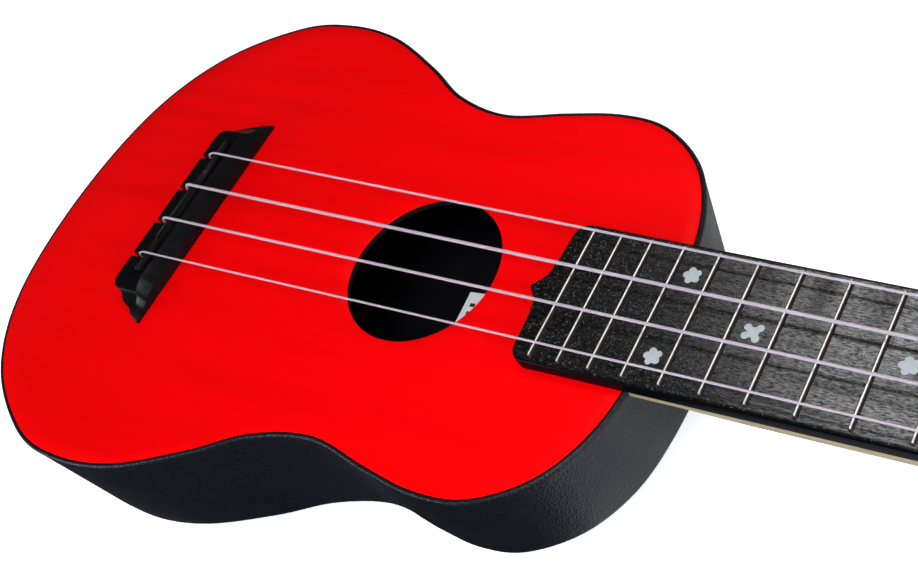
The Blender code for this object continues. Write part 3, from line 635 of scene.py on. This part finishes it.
def tub_piece():
    """The tub: rim lip, leaning side, rounded back edge, arched back, and the same again inside."""
    edge = RIM - DRAFT
    lip = [(0.25, -0.5), (0.3, -0.12), (0.5, 0.0), (0.8, -0.02), (1.06, -0.18), (1.25, -0.5), (RIM, -1.0)]
    rings = [flat_ring(offset, z) for offset, z in lip]
    rings += [side_ring(RIM - DRAFT * share, share) for share in (0.06, 0.15, 0.3, 0.5, 0.7, 0.85)]
    radius = BACK_EDGE_RADIUS
    for i in range(7):
        a = math.radians(15 * i)
        rings.append(side_ring(edge - radius * (1 - math.cos(a)), 1.0, radius * (1 - math.sin(a))))
    shares = (0.94, 0.86, 0.76, 0.65, 0.54, 0.43, 0.32, 0.21, 0.1)
    rings += [back_ring(edge - radius, share, 0) for share in shares]
    inner = [back_ring(edge - radius, share, WALL) for share in shares[::-1]]
    inner += [side_ring(edge - radius, 1.0, WALL), side_ring(edge - WALL, 1.0, WALL + 2.0)]
    inner += [side_ring(RIM - WALL - DRAFT * share, share) for share in (0.7, 0.4, 0.16)]
    ledge = -TOP_THICKNESS - 0.2
    inner += [flat_ring(-3.0, -6.0), flat_ring(-3.0, ledge), flat_ring(0.25, ledge)]
    bm = bmesh.new()
    outside = loft(bm, rings, ends=False)
    inside = loft(bm, inner, ends=False)
    bm.faces.new(outside[-1])
    bm.faces.new(inside[0])
    for i in range(OUTLINE_POINTS):
        j = (i + 1) % OUTLINE_POINTS
        bm.faces.new((inside[-1][i], inside[-1][j], outside[0][j], outside[0][i]))
    add_piece("tub", bm, "tub", replaces=["body_shell"], angle=50)


def top_piece():
    """The stained plywood top with its bevelled soundhole."""
    outline = body_outline(0)
    middle = Vector((SOUNDHOLE_X, 0))
    hole = [middle + (p - middle).normalized() * SOUNDHOLE_RADIUS for p in outline]

    def ring(share, z, shrink=0.0):
        """A ring at a share of the way from the hole to the outline; shrink moves an edge towards the hole."""
        points = []
        for inner, outer in zip(hole, outline):
            towards = (outer - inner).normalized()
            start, end = inner - towards * shrink * (share == 0), outer - towards * shrink * (share == 1)
            point = start.lerp(end, share)
            points.append((point.x, point.y, z))
        return points

    rings = [ring(0, -TOP_THICKNESS), ring(0, -0.35), ring(0, -0.1, -0.08), ring(0, 0, -0.3)]
    rings += [ring(share, 0) for share in (0.08, 0.2, 0.35, 0.5, 0.65, 0.8, 0.93)]
    rings += [ring(1, 0, 0.25), ring(1, -0.1, 0.05), ring(1, -0.3), ring(1, -TOP_THICKNESS)]
    bm = solid(rings, loop=True)
    for face in bm.faces:
        face.material_index = 1 if face.calc_center_median().z < -0.2 else 0
    add_piece("lacquered_top", bm, ["red", "edge"], replaces=["soundboard"], angle=60)


def label_pieces():
    """The paper label on the back's inner face, with plain printed shapes."""
    x0, x1, half, clear = 70.2, 110.0, 24.5, 0.6

    def sheet(name, low, high, look, lift, columns=12, rows=14):
        rings = []
        for i in range(columns + 1):
            x = low[0] + (high[0] - low[0]) * i / columns
            ys = [low[1] + (high[1] - low[1]) * k / rows for k in range(rows + 1)]
            lower = [(x, y, back_z(x, y) + WALL + clear + lift) for y in ys]
            rings.append([(a, b, c + 0.12) for a, b, c in lower] + lower[::-1])
        return add_piece(name, solid(rings), look)

    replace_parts(sheet("paper_label", (x0, -half), (x1, half), "paper", 0.0), "label")
    # the marks' places across the label, and their lengths
    marks = [(-19, 9.0), (-13.5, 5.0), (-7, 11.0), (3, 9.0), (10, 6.0), (15.8, 1.5), (19.0, 2.2)]
    for k, (y, length) in enumerate(marks):
        sheet(f"label_bar_{k}", (x0 + 2.6, y), (x0 + 2.6 + length, y + 1.3), "ink", 0.16, 4, 2)
        sheet(f"label_rule_{k}", (x0 + 16.0, y), (x0 + 35.0 - length, y + 1.0), "ink", 0.16, 4, 2)


# ---------------------------------------------------------------- bridge and saddle

BRIDGE_FRONT_X = 2.0
BRIDGE_HALF_LENGTH = 41.9
# (y, rear edge x, height at the rear, height at the crest) at one end; between the two ends it is straight
BRIDGE_STATIONS = [(29.0, -14.6, 6.2, 7.3), (32.0, -13.9, 6.2, 6.4)]
BRIDGE_STATIONS += [(33.7, -12.3, 5.7, 5.8), (34.5, -9.3, 5.1, 5.2), (37.1, -7.3, 3.6, 3.8)]
BRIDGE_STATIONS += [(38.7, -3.3, 3.1, 3.2), (40.5, -1.6, 2.1, 2.2), (BRIDGE_HALF_LENGTH, 1.0, 0.9, 1.0)]


def bridge_piece():
    """Deck, sloping front and stepped ends, slotted behind each string and grooved for the saddle."""
    def section(y, rear, rear_height, crest_height):
        front = BRIDGE_FRONT_X
        depth = front - rear
        deck_height = (crest_height + rear_height) / 2
        points = [(front, 0.05), (front - 0.045 * depth, 0.5 * crest_height)]
        points += [(front - 0.24 * depth, crest_height), (rear + 0.3 * depth, deck_height)]
        points += [(rear + 0.03 * depth, rear_height), (rear, 0.9 * rear_height), (rear, 0.05)]
        return [(x, y, z) for x, z in points]

    stations = [tuple(s) for s in catmull_rom(BRIDGE_STATIONS, 5, closed=False)]
    bm = solid([section(-y, *rest) for y, *rest in stations[::-1]] + [section(*s) for s in stations])
    piece = add_piece("slotted_bridge", bm, "bridge", replaces=["bridge"], angle=30)
    ys = [place * STRING_SPACING_AT_SADDLE for place, _ in STRINGS.values()]
    cut_boxes(piece, "slots", [((-18.0, y - 0.75, 2.6), (SADDLE_X - 2.0, y + 0.75, 12.0)) for y in ys])
    cut_boxes(piece, "pockets", [((-12.6, y - 2.2, -1.0), (-8.9, y + 2.2, 3.6)) for y in ys])
    cut_boxes(piece, "groove", [((SADDLE_X - 2.2, -27.5, 4.6), (SADDLE_X + 1.2, 27.5, 12.0))])
    soften(piece, 0.22)


def soften(piece, width):
    """Rounds a piece's hard edges by width millimetres."""
    clean = bmesh.new()
    clean.from_mesh(piece.data)
    bmesh.ops.remove_doubles(clean, verts=clean.verts, dist=1e-6)
    bmesh.ops.dissolve_limit(clean, angle_limit=math.radians(1), verts=clean.verts, edges=clean.edges)
    clean.to_mesh(piece.data)
    clean.free()
    edges = piece.modifiers.new("edges", "BEVEL")
    edges.width = width * MM
    edges.segments = 3
    edges.limit_method = "ANGLE"
    edges.angle_limit = math.radians(30)
    shade(piece, 40)


def refined_copy(node, name, look, width):
    """The CAD node's own shape with its edges rounded."""
    source = NODES[node]
    piece = link_object(name, source.data.copy())
    piece.data.materials.clear()
    piece.data.materials.append(LOOKS[look])
    soften(piece, width)
    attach(piece, source["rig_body"])
    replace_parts(piece, node)


# ---------------------------------------------------------------- neck, fingerboard, frets, nut


def board_half_width(x):
    share = (x - BODY_END_X) / (SCALE - BODY_END_X)
    return BOARD_HALF_AT_BODY + (BOARD_HALF_AT_NUT - BOARD_HALF_AT_BODY) * share


def fret_x(number):
    return SCALE * 2 ** (-number / 12)


def board_outline(inset):
    """The outline moved inwards by inset. Over the soundboard it ends in a point between two hollows."""
    tip, corner = BOARD_TIP_X, 4.8
    half = board_half_width(tip + 6)
    points = [(SCALE - 0.2, BOARD_HALF_AT_NUT - inset)]
    for i in range(1, 12):
        x = SCALE + (tip + 12 - SCALE) * i / 12
        points.append((x, board_half_width(x) - inset))
    centre = (tip + 4.7 + corner, half - corner)
    reach = corner - inset
    for i in range(9):
        a = math.radians(90 + 11.25 * i)
        points.append((centre[0] + reach * math.cos(a), centre[1] + reach * math.sin(a)))
    hollow = [(tip + 4.7, half - corner), (tip + 4.4, 11.2), (tip + 4.0, 7.7), (tip + 3.2, 4.0), (tip, 0.0)]
    for p in catmull_rom(hollow, 5, closed=False)[1:]:
        points.append((p.x + inset, p.y))
    return points + [(x, -y) for x, y in points[-2::-1]]


def fingerboard_piece():
    """The moulded board with soft upper edges, a slot for each fret and a recess for each marker."""
    radius = BOARD_EDGE_RADIUS
    levels = [(0.0, 0.2), (0.0, BOARD_TOP - radius)]
    for i in range(1, 6):
        a = math.radians(18 * i)
        levels.append((radius * (1 - math.cos(a)), BOARD_TOP - radius + radius * math.sin(a)))
    rings = [[(x, y, z) for x, y in board_outline(inset)] for inset, z in levels]
    bm = solid(rings)
    piece = add_piece("moulded_fingerboard", bm, "board", replaces=["fingerboard"], angle=40)
    slots = []
    for number in range(1, FRET_COUNT + 1):
        x, half = fret_x(number), board_half_width(fret_x(number)) - FRET_INSET
        slots.append(((x - 0.4, -half - 0.1, BOARD_TOP - 2.0), (x + 0.4, half + 0.1, BOARD_TOP + 2)))
    cut_boxes(piece, "slots", slots)
    recesses = bmesh.new()
    for x, y, kind in marker_places().values():
        prism(recesses, petals(x, y, kind, 0.05), BOARD_TOP - 0.8, BOARD_TOP + 2)
    boolean(piece, recesses, "recesses")
    shade(piece, 40)


# the petals' angles, the distance of their centres, their radius and the core's radius
MARKER_KINDS = {
    "flower": ([36, 108, 180, 252, 324], 1.6, 0.98, 1.85),
    "clover": ([47, 145, 215, 308], 2.05, 1.05, 1.55),
}


def petals(x, y, kind, grow):
    """An outline of round petals round a core, with both radii larger by grow."""
    count = 96
    angles, distance, lobe, core = MARKER_KINDS[kind]
    lobe, core = lobe + grow, core + grow
    points = []
    for i in range(count):
        a = 2 * math.pi * i / count
        reach = core
        for angle in angles:
            off = a - math.radians(angle)
            inside = lobe**2 - (distance * math.sin(off)) ** 2
            if inside > 0 and math.cos(off) > 0:
                reach = max(reach, distance * math.cos(off) + math.sqrt(inside))
        points.append((x + reach * math.cos(a), y + reach * math.sin(a)))
    return points


def marker_places():
    places = {}
    for fret in (5, 7, 10):
        kind = "clover" if fret == 10 else "flower"
        places[f"marker_{fret:02d}"] = ((fret_x(fret) + fret_x(fret - 1)) / 2, 0.0, kind)
    x = (fret_x(12) + fret_x(11)) / 2
    places["marker_12_bass"] = (x, 12.5, "flower")
    places["marker_12_treble"] = (x, -12.5, "flower")
    return places


def marker_pieces():
    for node, (x, y, kind) in marker_places().items():
        rings = []
        for grow, z in ((0.0, -0.6), (0.0, 0.0), (-0.05, 0.04), (-0.15, 0.06)):
            rings.append([(px, py, BOARD_TOP + z) for px, py in petals(x, y, kind, grow)])
        add_piece(f"inlay_{node[7:]}", solid(rings), "marker", replaces=[node], angle=50)


def fret_pieces():
    """Domed wire with rounded ends and a tang that stands in the board's slot."""
    half_width, height, tang = 0.6, 1.0, 0.25
    # distances from an end of the wire, and the share of its full section there
    rounding = [(0.0, 0.35), (0.06, 0.62), (0.2, 0.85), (0.5, 0.97), (1.0, 1.0)]
    for number in range(1, FRET_COUNT + 1):
        x = fret_x(number)
        half = board_half_width(x) - FRET_INSET
        rings = []
        ends = [(-half + inwards, share) for inwards, share in rounding]
        for y, share in ends + [(-y, share) for y, share in ends[::-1]]:
            dome = []
            for i in range(13):
                a = math.pi * i / 12
                z = BOARD_TOP + height * share * math.sin(a) ** 0.8
                dome.append((x + half_width * share * math.cos(a), y, z))
            dome += [(x - tang * share, y, BOARD_TOP - 0.02), (x - tang * share, y, BOARD_TOP - 1.7)]
            dome += [(x + tang * share, y, BOARD_TOP - 1.7), (x + tang * share, y, BOARD_TOP - 0.02)]
            rings.append(dome)
        bm = solid(rings)
        add_piece(f"fret_wire_{number:02d}", bm, "fret", replaces=[f"fret_{number:02d}"], angle=50)


def neck_piece():
    """Heel, shaft and headstock as one carved piece."""
    # x, depth, and the powers that shape the section's sides and its fall to the back
    stations = [(160.0, 38.0, 1.7, 2.2), (177.0, 37.0, 1.7, 2.2), (183.0, 33.0, 1.6, 2.1)]
    stations += [(190.0, 26.5, 1.4, 1.85), (198.0, 21.0, 1.2, 1.6), (208.0, 17.6, 1.08, 1.42)]
    stations += [(222.0, 16.4, 1.05, 1.35), (290.0, 15.4, 1.03, 1.3)]
    stations += [(345.0, 14.5, 1.0, 1.2), (362.0, 14.5, 1.0, 1.2)]
    fine = catmull_rom(stations, 6, closed=False)
    cheek = 1.8  # height of the upright sides under the fingerboard

    def section(x, half_width, depth, flare, fall):
        ring = [(x, half_width, -0.2)]
        for i in range(41):
            a = math.pi * i / 40
            y = half_width * math.copysign(abs(math.cos(a)) ** flare, math.cos(a))
            ring.append((x, y, -cheek - (depth - cheek) * math.sin(a) ** fall))
        ring.append((x, -half_width, -0.2))
        return ring

    bm = solid([section(s[0], board_half_width(s[0]) - 0.15, *s[1:]) for s in fine])
    piece = add_piece("carved_neck", bm, "neck", replaces=["neck"], angle=40)
    cut_boxes(piece, "past_nut", [((SCALE + 4.6, -40, HEAD_FACE_Z - 1.5), (SCALE + 30, 40, 5))])
    for low, high in ((-60, HEAD_BACK_Z), (HEAD_FACE_Z, 30)):
        cut_boxes(piece, "head_cut", [((0.5, -40, low), (40, 40, high))], tilted=True)
    lower = [(x, y, z - 30.0) for x, y, z in side_ring(RIM - DRAFT - 1.4, 1.0)]
    boolean(piece, solid([lower, flat_ring(RIM + 0.4, -1.0), flat_ring(RIM + 0.4, 8.0)]), "body_side")
    half = catmull_rom(HEAD_HALF_OUTLINE, 6, closed=False)
    outline = [(p.x, p.y) for p in half] + [(p.x, -p.y) for p in half[::-1]]
    low, high = HEAD_BACK_Z + 0.02, HEAD_FACE_Z - 0.02
    levels = [(1.0, low), (0.3, low + 0.3), (0.0, low + 1.0)]
    levels += [(0.0, high - 0.8), (0.25, high - 0.25), (0.8, high)]
    middle, half_width = 56.0, 27.0
    rings = []
    for inset, z in levels:
        shrink_x, shrink_y = 1 - inset / middle, 1 - inset / half_width
        rings.append([(middle + (x - middle) * shrink_x, y * shrink_y, z) for x, y in outline])
    boolean(piece, solid(rings), "headstock", tilted=True, operation="UNION")
    for radius, low in ((4.5, HEAD_FACE_Z - 5.2), (POST_RADIUS + 0.5, -40)):
        holes = bmesh.new()
        for name in STRINGS:
            prism(holes, circle(radius, 48, *post_centre(name)), low, 10)
        boolean(piece, holes, "post_holes", tilted=True)
    shade(piece, 35)


# ---------------------------------------------------------------- tuners


def side_of(name):
    """1 on the bass side, -1 on the treble side."""
    return 1 if STRINGS[name][0] > 0 else -1


def post_centre(name):
    return POST_X[name], POST_Y * side_of(name)


def worm_radius(phase):
    """Thread form by the share of one pitch from the crest's middle."""
    from_crest = abs((phase + 0.5) % 1.0 - 0.5)
    root, crest = WORM_PITCH_RADIUS - 0.65, WORM_PITCH_RADIUS + 0.4
    share = min(max((from_crest - 0.09) / 0.17, 0.0), 1.0)
    return crest + (root - crest) * share * share * (3 - 2 * share)


def worm_pieces(name):
    """The worm on its shaft, and the button on the shaft's outer end."""
    x, y = post_centre(name)
    side = side_of(name)
    at, body = (x + WORM_OFFSET, y, WORM_Z), f"worm_{name}"
    count = 36

    def ring(radius, along):
        turns = [2 * math.pi * i / count for i in range(count)]
        return [(radius * math.sin(a), along, radius * math.cos(a)) for a in turns]

    def thread(along):
        fade = min(1.0, (THREAD_HALF_LENGTH - abs(along)) / 0.5)
        points = []
        for i in range(count):
            turn = i / count
            radius = 1.4 + (worm_radius(along / WORM_PITCH - turn - 0.25) - 1.4) * max(fade, 0.0)
            a = 2 * math.pi * turn
            points.append((radius * math.sin(a), along, radius * math.cos(a)))
        return points

    rings = [ring(1.1, -7.6 * side), ring(SHAFT_RADIUS, -7.3 * side), ring(SHAFT_RADIUS, -3.6 * side)]
    rings += [thread(side * (-THREAD_HALF_LENGTH + 2 * THREAD_HALF_LENGTH * k / 64)) for k in range(65)]
    rings += [ring(SHAFT_RADIUS, 3.6 * side), ring(SHAFT_RADIUS, 19.3 * side), ring(1.1, 19.6 * side)]
    add_piece(f"worm_{name}", solid(rings), "nickel", body, [f"worm_shaft_{name}"], at, 50)

    # the button's distance from the worm, and its half width and half thickness there
    stations = [(12.3, 2.4, 2.4), (12.6, 2.75, 2.75), (13.6, 2.8, 2.8), (15.0, 4.2, 3.0), (17.6, 7.2, 3.4)]
    stations += [(21.0, 8.0, 3.6), (24.4, 7.4, 3.5), (27.0, 5.2, 2.9), (27.8, 3.4, 2.1), (28.0, 1.2, 0.8)]
    rings = []
    for s in catmull_rom(stations, 4, closed=False):
        oval = []
        for i in range(48):
            a = 2 * math.pi * (i + 0.5) / 48
            flat = 0.86 if s.x > 15 else 1.0
            rise = math.copysign(abs(math.sin(a)) ** flat, math.sin(a))
            oval.append((s.y * math.cos(a), s.x * side, s.z * rise))
        rings.append(oval)
    bm = solid(rings)
    knob = add_piece(f"knob_{name}", bm, "button", body, [f"button_{name}"], at, 45)
    rings = []
    for end in (11.0, 19.9):
        rings.append([(at[0] + px, at[1] + py, at[2] + pz) for px, py, pz in ring(1.5, end * side)])
    boolean(knob, solid(rings), "bore", tilted=True)
    knob.data.set_sharp_from_angle(angle=math.radians(45))


def gear_piece(name):
    """A gear with teeth that lean with the worm's thread, and the screw that holds it."""
    x, y = post_centre(name)
    tip, root = GEAR_PITCH_RADIUS + 0.4, GEAR_PITCH_RADIUS - 0.7
    lean = WORM_PITCH / (2 * math.pi * WORM_PITCH_RADIUS * GEAR_PITCH_RADIUS)
    pitch = 2 * math.pi / GEAR_TEETH
    # one tooth: shares of a pitch from its middle, and radii
    flank = 0.5 * (root + tip)
    form = [(-0.42, root), (-0.3, root), (-0.2, flank), (-0.1, tip), (0.0, tip + 0.03), (0.1, tip)]
    form += [(0.2, flank), (0.3, root), (0.42, root)]

    def outline(z, shrink=0.0):
        points = []
        for tooth in range(GEAR_TEETH):
            for share, radius in form:
                a = pitch * (tooth + 0.5 + share) + lean * z
                points.append(((radius - shrink) * math.cos(a), (radius - shrink) * math.sin(a), z))
        return points

    count = GEAR_TEETH * len(form)
    end = GEAR_HALF_WIDTH
    bore = [[(px, py, z) for px, py in circle(1.6, count)] for z in (-end, end)]
    levels = [(-end, 0.15), (-1.25, 0.0), (0.0, 0.0), (1.25, 0.0), (end, 0.15)]
    rings = [bore[0]] + [outline(z, shrink) for z, shrink in levels] + [bore[1]]
    bm = solid(rings, loop=True)
    at, body = (x, y, WORM_Z), f"post_{name}"
    add_piece(f"wheel_{name}", bm, "gear", body, [f"drive_gear_{name}"], at, 40)
    screw_piece(f"wheel_screw_{name}", (x, y, WORM_Z - 1.45), 2.2, 1.2, body)


def screw_piece(name, at, radius, height, body):
    """A domed screw that faces down -z, with a cross recess in its head and a short shank behind it."""
    profile = [(0.45 * radius, 0.6), (0.45 * radius, 0.0), (radius, 0.0), (radius, -0.25 * height)]
    for i in range(1, 6):
        a = math.radians(90 * i / 6)
        profile.append((radius * math.cos(a), -height * (0.25 + 0.75 * math.sin(a))))
    bm = bmesh.new()
    turned(bm, profile, 40)
    piece = add_piece(name, bm, "nickel", body, (), at, 40)
    arm, width = 0.55 * radius, 0.14 * radius
    recess = bmesh.new()
    outline = [(arm, -width), (arm, width), (width, width), (width, arm), (-width, arm), (-width, width)]
    outline += [(-x, -y) for x, y in outline]
    prism(recess, [(at[0] + x, at[1] + y) for x, y in outline], at[2] - 2 * height, at[2] - 0.45 * height)
    boolean(piece, recess, "recess", tilted=True)
    piece.data.set_sharp_from_angle(angle=math.radians(40))


def post_piece(name):
    """A waisted post with a hole for the string, turned about the headstock's face."""
    back = -HEAD_THICKNESS
    profile = [(0.9, back - 6.7), (1.4, back - 6.5), (1.4, back - 3.2), (2.6, back - 3.2), (2.6, back - 0.5)]
    profile += [(POST_RADIUS, back + 0.3), (POST_RADIUS, 3.4), (2.5, 4.6), (2.3, 6.6), (2.5, 8.6)]
    profile += [(POST_RADIUS, 9.8), (POST_RADIUS, 12.2), (2.4, 13.2), (0.5, 13.3)]
    bm = bmesh.new()
    turned(bm, rounded_profile(profile, 0.5), 48)
    x, y = post_centre(name)
    at, body = (x, y, HEAD_FACE_Z), f"post_{name}"
    piece = add_piece(f"capstan_{name}", bm, "nickel", body, [f"string_post_{name}"], at, 45)
    hole = [[(x + dx, y + py, HEAD_FACE_Z + 11.1 + pz) for py, pz in circle(0.65, 24)] for dx in (-6, 6)]
    boolean(piece, solid(hole), "hole", tilted=True)
    shade(piece, 45)


def bushing_piece(name):
    """A flanged ring between the post and the headstock's face."""
    inner = POST_RADIUS + 0.25
    profile = [(inner, -4.8), (4.3, -4.8), (4.3, 0.1), (5.4, 0.15)]
    profile += [(5.35, 0.6), (5.1, 1.1), (4.2, 1.6), (inner, 1.6)]
    bm = bmesh.new()
    turned(bm, rounded_profile(profile, 0.3), 56, loop=True)
    x, y = post_centre(name)
    at = (x, y, HEAD_FACE_Z)
    add_piece(f"ferrule_{name}", bm, "nickel", "instrument", [f"bushing_{name}"], at, 45)


def tuner_pieces():
    for name in STRINGS:
        worm_pieces(name)
        gear_piece(name)
        post_piece(name)
        bushing_piece(name)
        refined_copy(f"tuner_plate_{name}", f"machine_plate_{name}", "nickel", 0.18)
        x, y = post_centre(name)
        for k, (dx, dy) in enumerate(((-4.8, -6.4), (13.4, 6.4))):
            at = (x + dx, y + dy, HEAD_BACK_Z - 1.4)
            screw_piece(f"plate_screw_{name}_{k}", at, 1.9, 1.1, "instrument")


# ---------------------------------------------------------------- strings


def string_route(name):
    """From the knot over the saddle and the nut to the coil on the post."""
    place, diameter = STRINGS[name]
    side = side_of(name)
    y_saddle, y_nut = place * STRING_SPACING_AT_SADDLE, place * STRING_SPACING_AT_NUT
    bear = SADDLE_X - (SADDLE_SETBACK if abs(place) < 1 else 0.0)
    start = [(KNOT_X, 1.9), (-9.9, 5.0), (-8.6, 7.9), (bear - 1.8, STRING_Z_AT_SADDLE - 0.55)]
    start += [(bear - 0.5, STRING_Z_AT_SADDLE - 0.1), (bear + 0.5, STRING_Z_AT_SADDLE)]
    route = catmull_rom([(x, y_saddle, z) for x, z in start], 6, closed=False)
    end = Vector((SCALE + 0.4, y_nut, STRING_Z_AT_NUT + 0.1))
    route += [route[-1].lerp(end, k / 24) for k in range(1, 25)]
    x, y = post_centre(name)
    coil = 2.75 + diameter / 2 + 0.1
    turns, steps = 2.5, 32
    first = math.atan2(-side, -0.25)
    top, bottom = 8.3 + HEAD_FACE_Z, 5.0 + HEAD_FACE_Z
    wound = []
    for k in range(int(turns * steps) + 1):
        a = first + side * 2 * math.pi * k / steps
        z = top + (bottom - top) * k / (turns * steps)
        wound.append(head_point((x + coil * math.cos(a), y + coil * math.sin(a), z)))
    over = Vector((SCALE + 2.1, y_nut, STRING_Z_AT_NUT - 0.1))
    route += [over] + [over.lerp(wound[0], k / 6) for k in range(1, 6)] + wound
    return route


def string_pieces():
    for name, (place, diameter) in STRINGS.items():
        bm = bmesh.new()
        tube(bm, string_route(name), diameter / 2, 16)
        add_piece(f"filament_{name}", bm, "string", replaces=[f"string_{name}"], angle=60)
        knot = []
        y = place * STRING_SPACING_AT_SADDLE
        for k in range(73):
            a = 2 * math.pi * k / 72
            r = 0.75 + 0.28 * math.cos(3 * a)
            x = KNOT_X + r * math.cos(2 * a)
            knot.append(Vector((x, y + r * math.sin(2 * a), 1.75 + 0.4 * math.sin(3 * a))))
        bm = bmesh.new()
        tube(bm, knot, 0.34, 10)
        add_piece(f"knot_{name}", bm, "string", angle=60)


# ---------------------------------------------------------------- stage, light and camera


def add_light(name, place, target, power, size, colour=(1, 1, 1)):
    light = bpy.data.lights.new(name, "AREA")
    light.shape = "RECTANGLE"
    light.size, light.size_y = size
    light.energy = power
    light.color = colour
    lamp = link_object(name, light)
    lamp.location = to_frame(place)
    lamp.rotation_euler = (to_frame(target) - lamp.location).to_track_quat("-Z", "Y").to_euler()


def set_range(node, *limits):
    for key, value in zip(("From Min", "From Max", "To Min", "To Max"), limits):
        node.inputs[key].default_value = value


def build_floor():
    """A white floor. In reflections it carries a painted shadow: dark on the camera's side and bright beyond
    the instrument.
    """
    bm = bmesh.new()
    bmesh.ops.create_grid(bm, x_segments=1, y_segments=1, size=6.0)
    floor = mesh_object("floor", bm)
    pale = Look("pale_floor", (0.95, 0.95, 0.95), 0.9, specular=0.0)
    plain = pale.ramp(pale.noise(3, 2), [(0.3, 0.94), (0.7, 0.96)])
    path = pale.node("ShaderNodeLightPath")
    along = pale.node("ShaderNodeSeparateXYZ")
    pale.link(pale.where, along.inputs[0])
    level = pale.node("ShaderNodeMapRange")
    level.interpolation_type = "SMOOTHSTEP"
    # painted shadow: in reflections only, the floor's colour goes dark on the camera's side
    painted_shadow_bend = pale.math("MINIMUM", pale.math("ABSOLUTE", pale.math("ADD", along.outputs["X"], 0.085)), 0.11)
    pale.link(pale.math("ADD", along.outputs["Y"], pale.math("MULTIPLY", painted_shadow_bend, 0.5)), level.inputs["Value"])
    set_range(level, -0.048, -0.012, 0.008, 0.85)
    pale.colour(pale.mix(path.outputs["Is Glossy Ray"], plain, level.outputs["Result"]))
    pale.set("Emission Color", (1, 1, 1, 1))
    glow = pale.math("MULTIPLY", path.outputs["Is Camera Ray"], 0.62)
    pale.link(glow, pale.shader.inputs["Emission Strength"])
    floor.data.materials.append(pale.material)


def build_world():
    """White to the camera, a dim fill on matt surfaces, dimmer in reflections from high over the tail."""
    world = bpy.data.worlds.new("soft_white")
    bpy.context.scene.world = world
    world.use_nodes = True
    world.cycles.sampling_method = "NONE"
    nodes, links = world.node_tree.nodes, world.node_tree.links
    where, towards = nodes.new("ShaderNodeTexCoord"), nodes.new("ShaderNodeVectorMath")
    towards.operation = "DOT_PRODUCT"
    towards.inputs[1].default_value = (-0.45, 0.42, 0.79)
    links.new(where.outputs["Generated"], towards.inputs[0])
    flag, level = nodes.new("ShaderNodeMapRange"), nodes.new("ShaderNodeMapRange")
    set_range(flag, 0.3, 0.75, 0.16, 0.02)
    links.new(towards.outputs["Value"], flag.inputs["Value"])
    path = nodes.new("ShaderNodeLightPath")
    level.inputs["To Min"].default_value = 0.22
    links.new(path.outputs["Is Glossy Ray"], level.inputs["Value"])
    links.new(flag.outputs["Result"], level.inputs["To Max"])
    seen = nodes.new("ShaderNodeMath")
    seen.operation = "MAXIMUM"
    links.new(level.outputs["Result"], seen.inputs[0])
    links.new(path.outputs["Is Camera Ray"], seen.inputs[1])
    links.new(seen.outputs["Value"], nodes["Background"].inputs["Strength"])
    nodes["Background"].inputs["Color"].default_value = (1.0, 1.0, 1.0, 1)


def build_lights():
    """Place and target in the drawing frame, power in watts, size in metres."""
    add_light("key", (318, -175, 435), (96, 0, 0), 1.85, (0.2, 0.2))
    add_light("overhead", (-120, 690, 1282), (230, 0, 0), 4.4, (0.46, 0.5))
    add_light("right_strip", (760, -330, 120), (150, -20, -30), 4, (0.35, 0.35), (0.76, 0.85, 1.0))
    add_light("left_strip", (-420, -620, 90), (-40, -60, -30), 4.6, (0.35, 0.35), (0.7, 0.8, 1.0))


def build_camera():
    """Stands in front of the treble side of the neck and looks down along the instrument to the bridge."""
    camera = bpy.data.cameras.new("camera")
    camera.sensor_width = 36.0
    camera.lens = 49.96
    camera.shift_x, camera.shift_y = -0.035, -0.0209
    camera.clip_start = 0.01
    eye = link_object("camera", camera)
    eye.location = to_frame((328.85, -137.43, 256.67))
    eye.rotation_euler = [math.radians(angle) for angle in (39.1303, 23.5901, 29.8483)]
    bpy.context.scene.camera = eye
    bpy.context.scene.view_settings.view_transform = "Standard"
    bpy.context.scene.view_settings.look = "None"


tub_piece()
top_piece()
label_pieces()
bridge_piece()
refined_copy("saddle", "saddle_bar", "bridge", 0.25)
neck_piece()
fingerboard_piece()
marker_pieces()
fret_pieces()
refined_copy("nut", "grooved_nut", "bridge", 0.2)
tuner_pieces()
string_pieces()
for node in ("brace_upper", "brace_lower", "bridge_plate", "neck_block"):
    NODES[node].data.materials.clear()
    NODES[node].data.materials.append(LOOKS["brace"])
build_floor()
build_world()
build_lights()
build_camera()
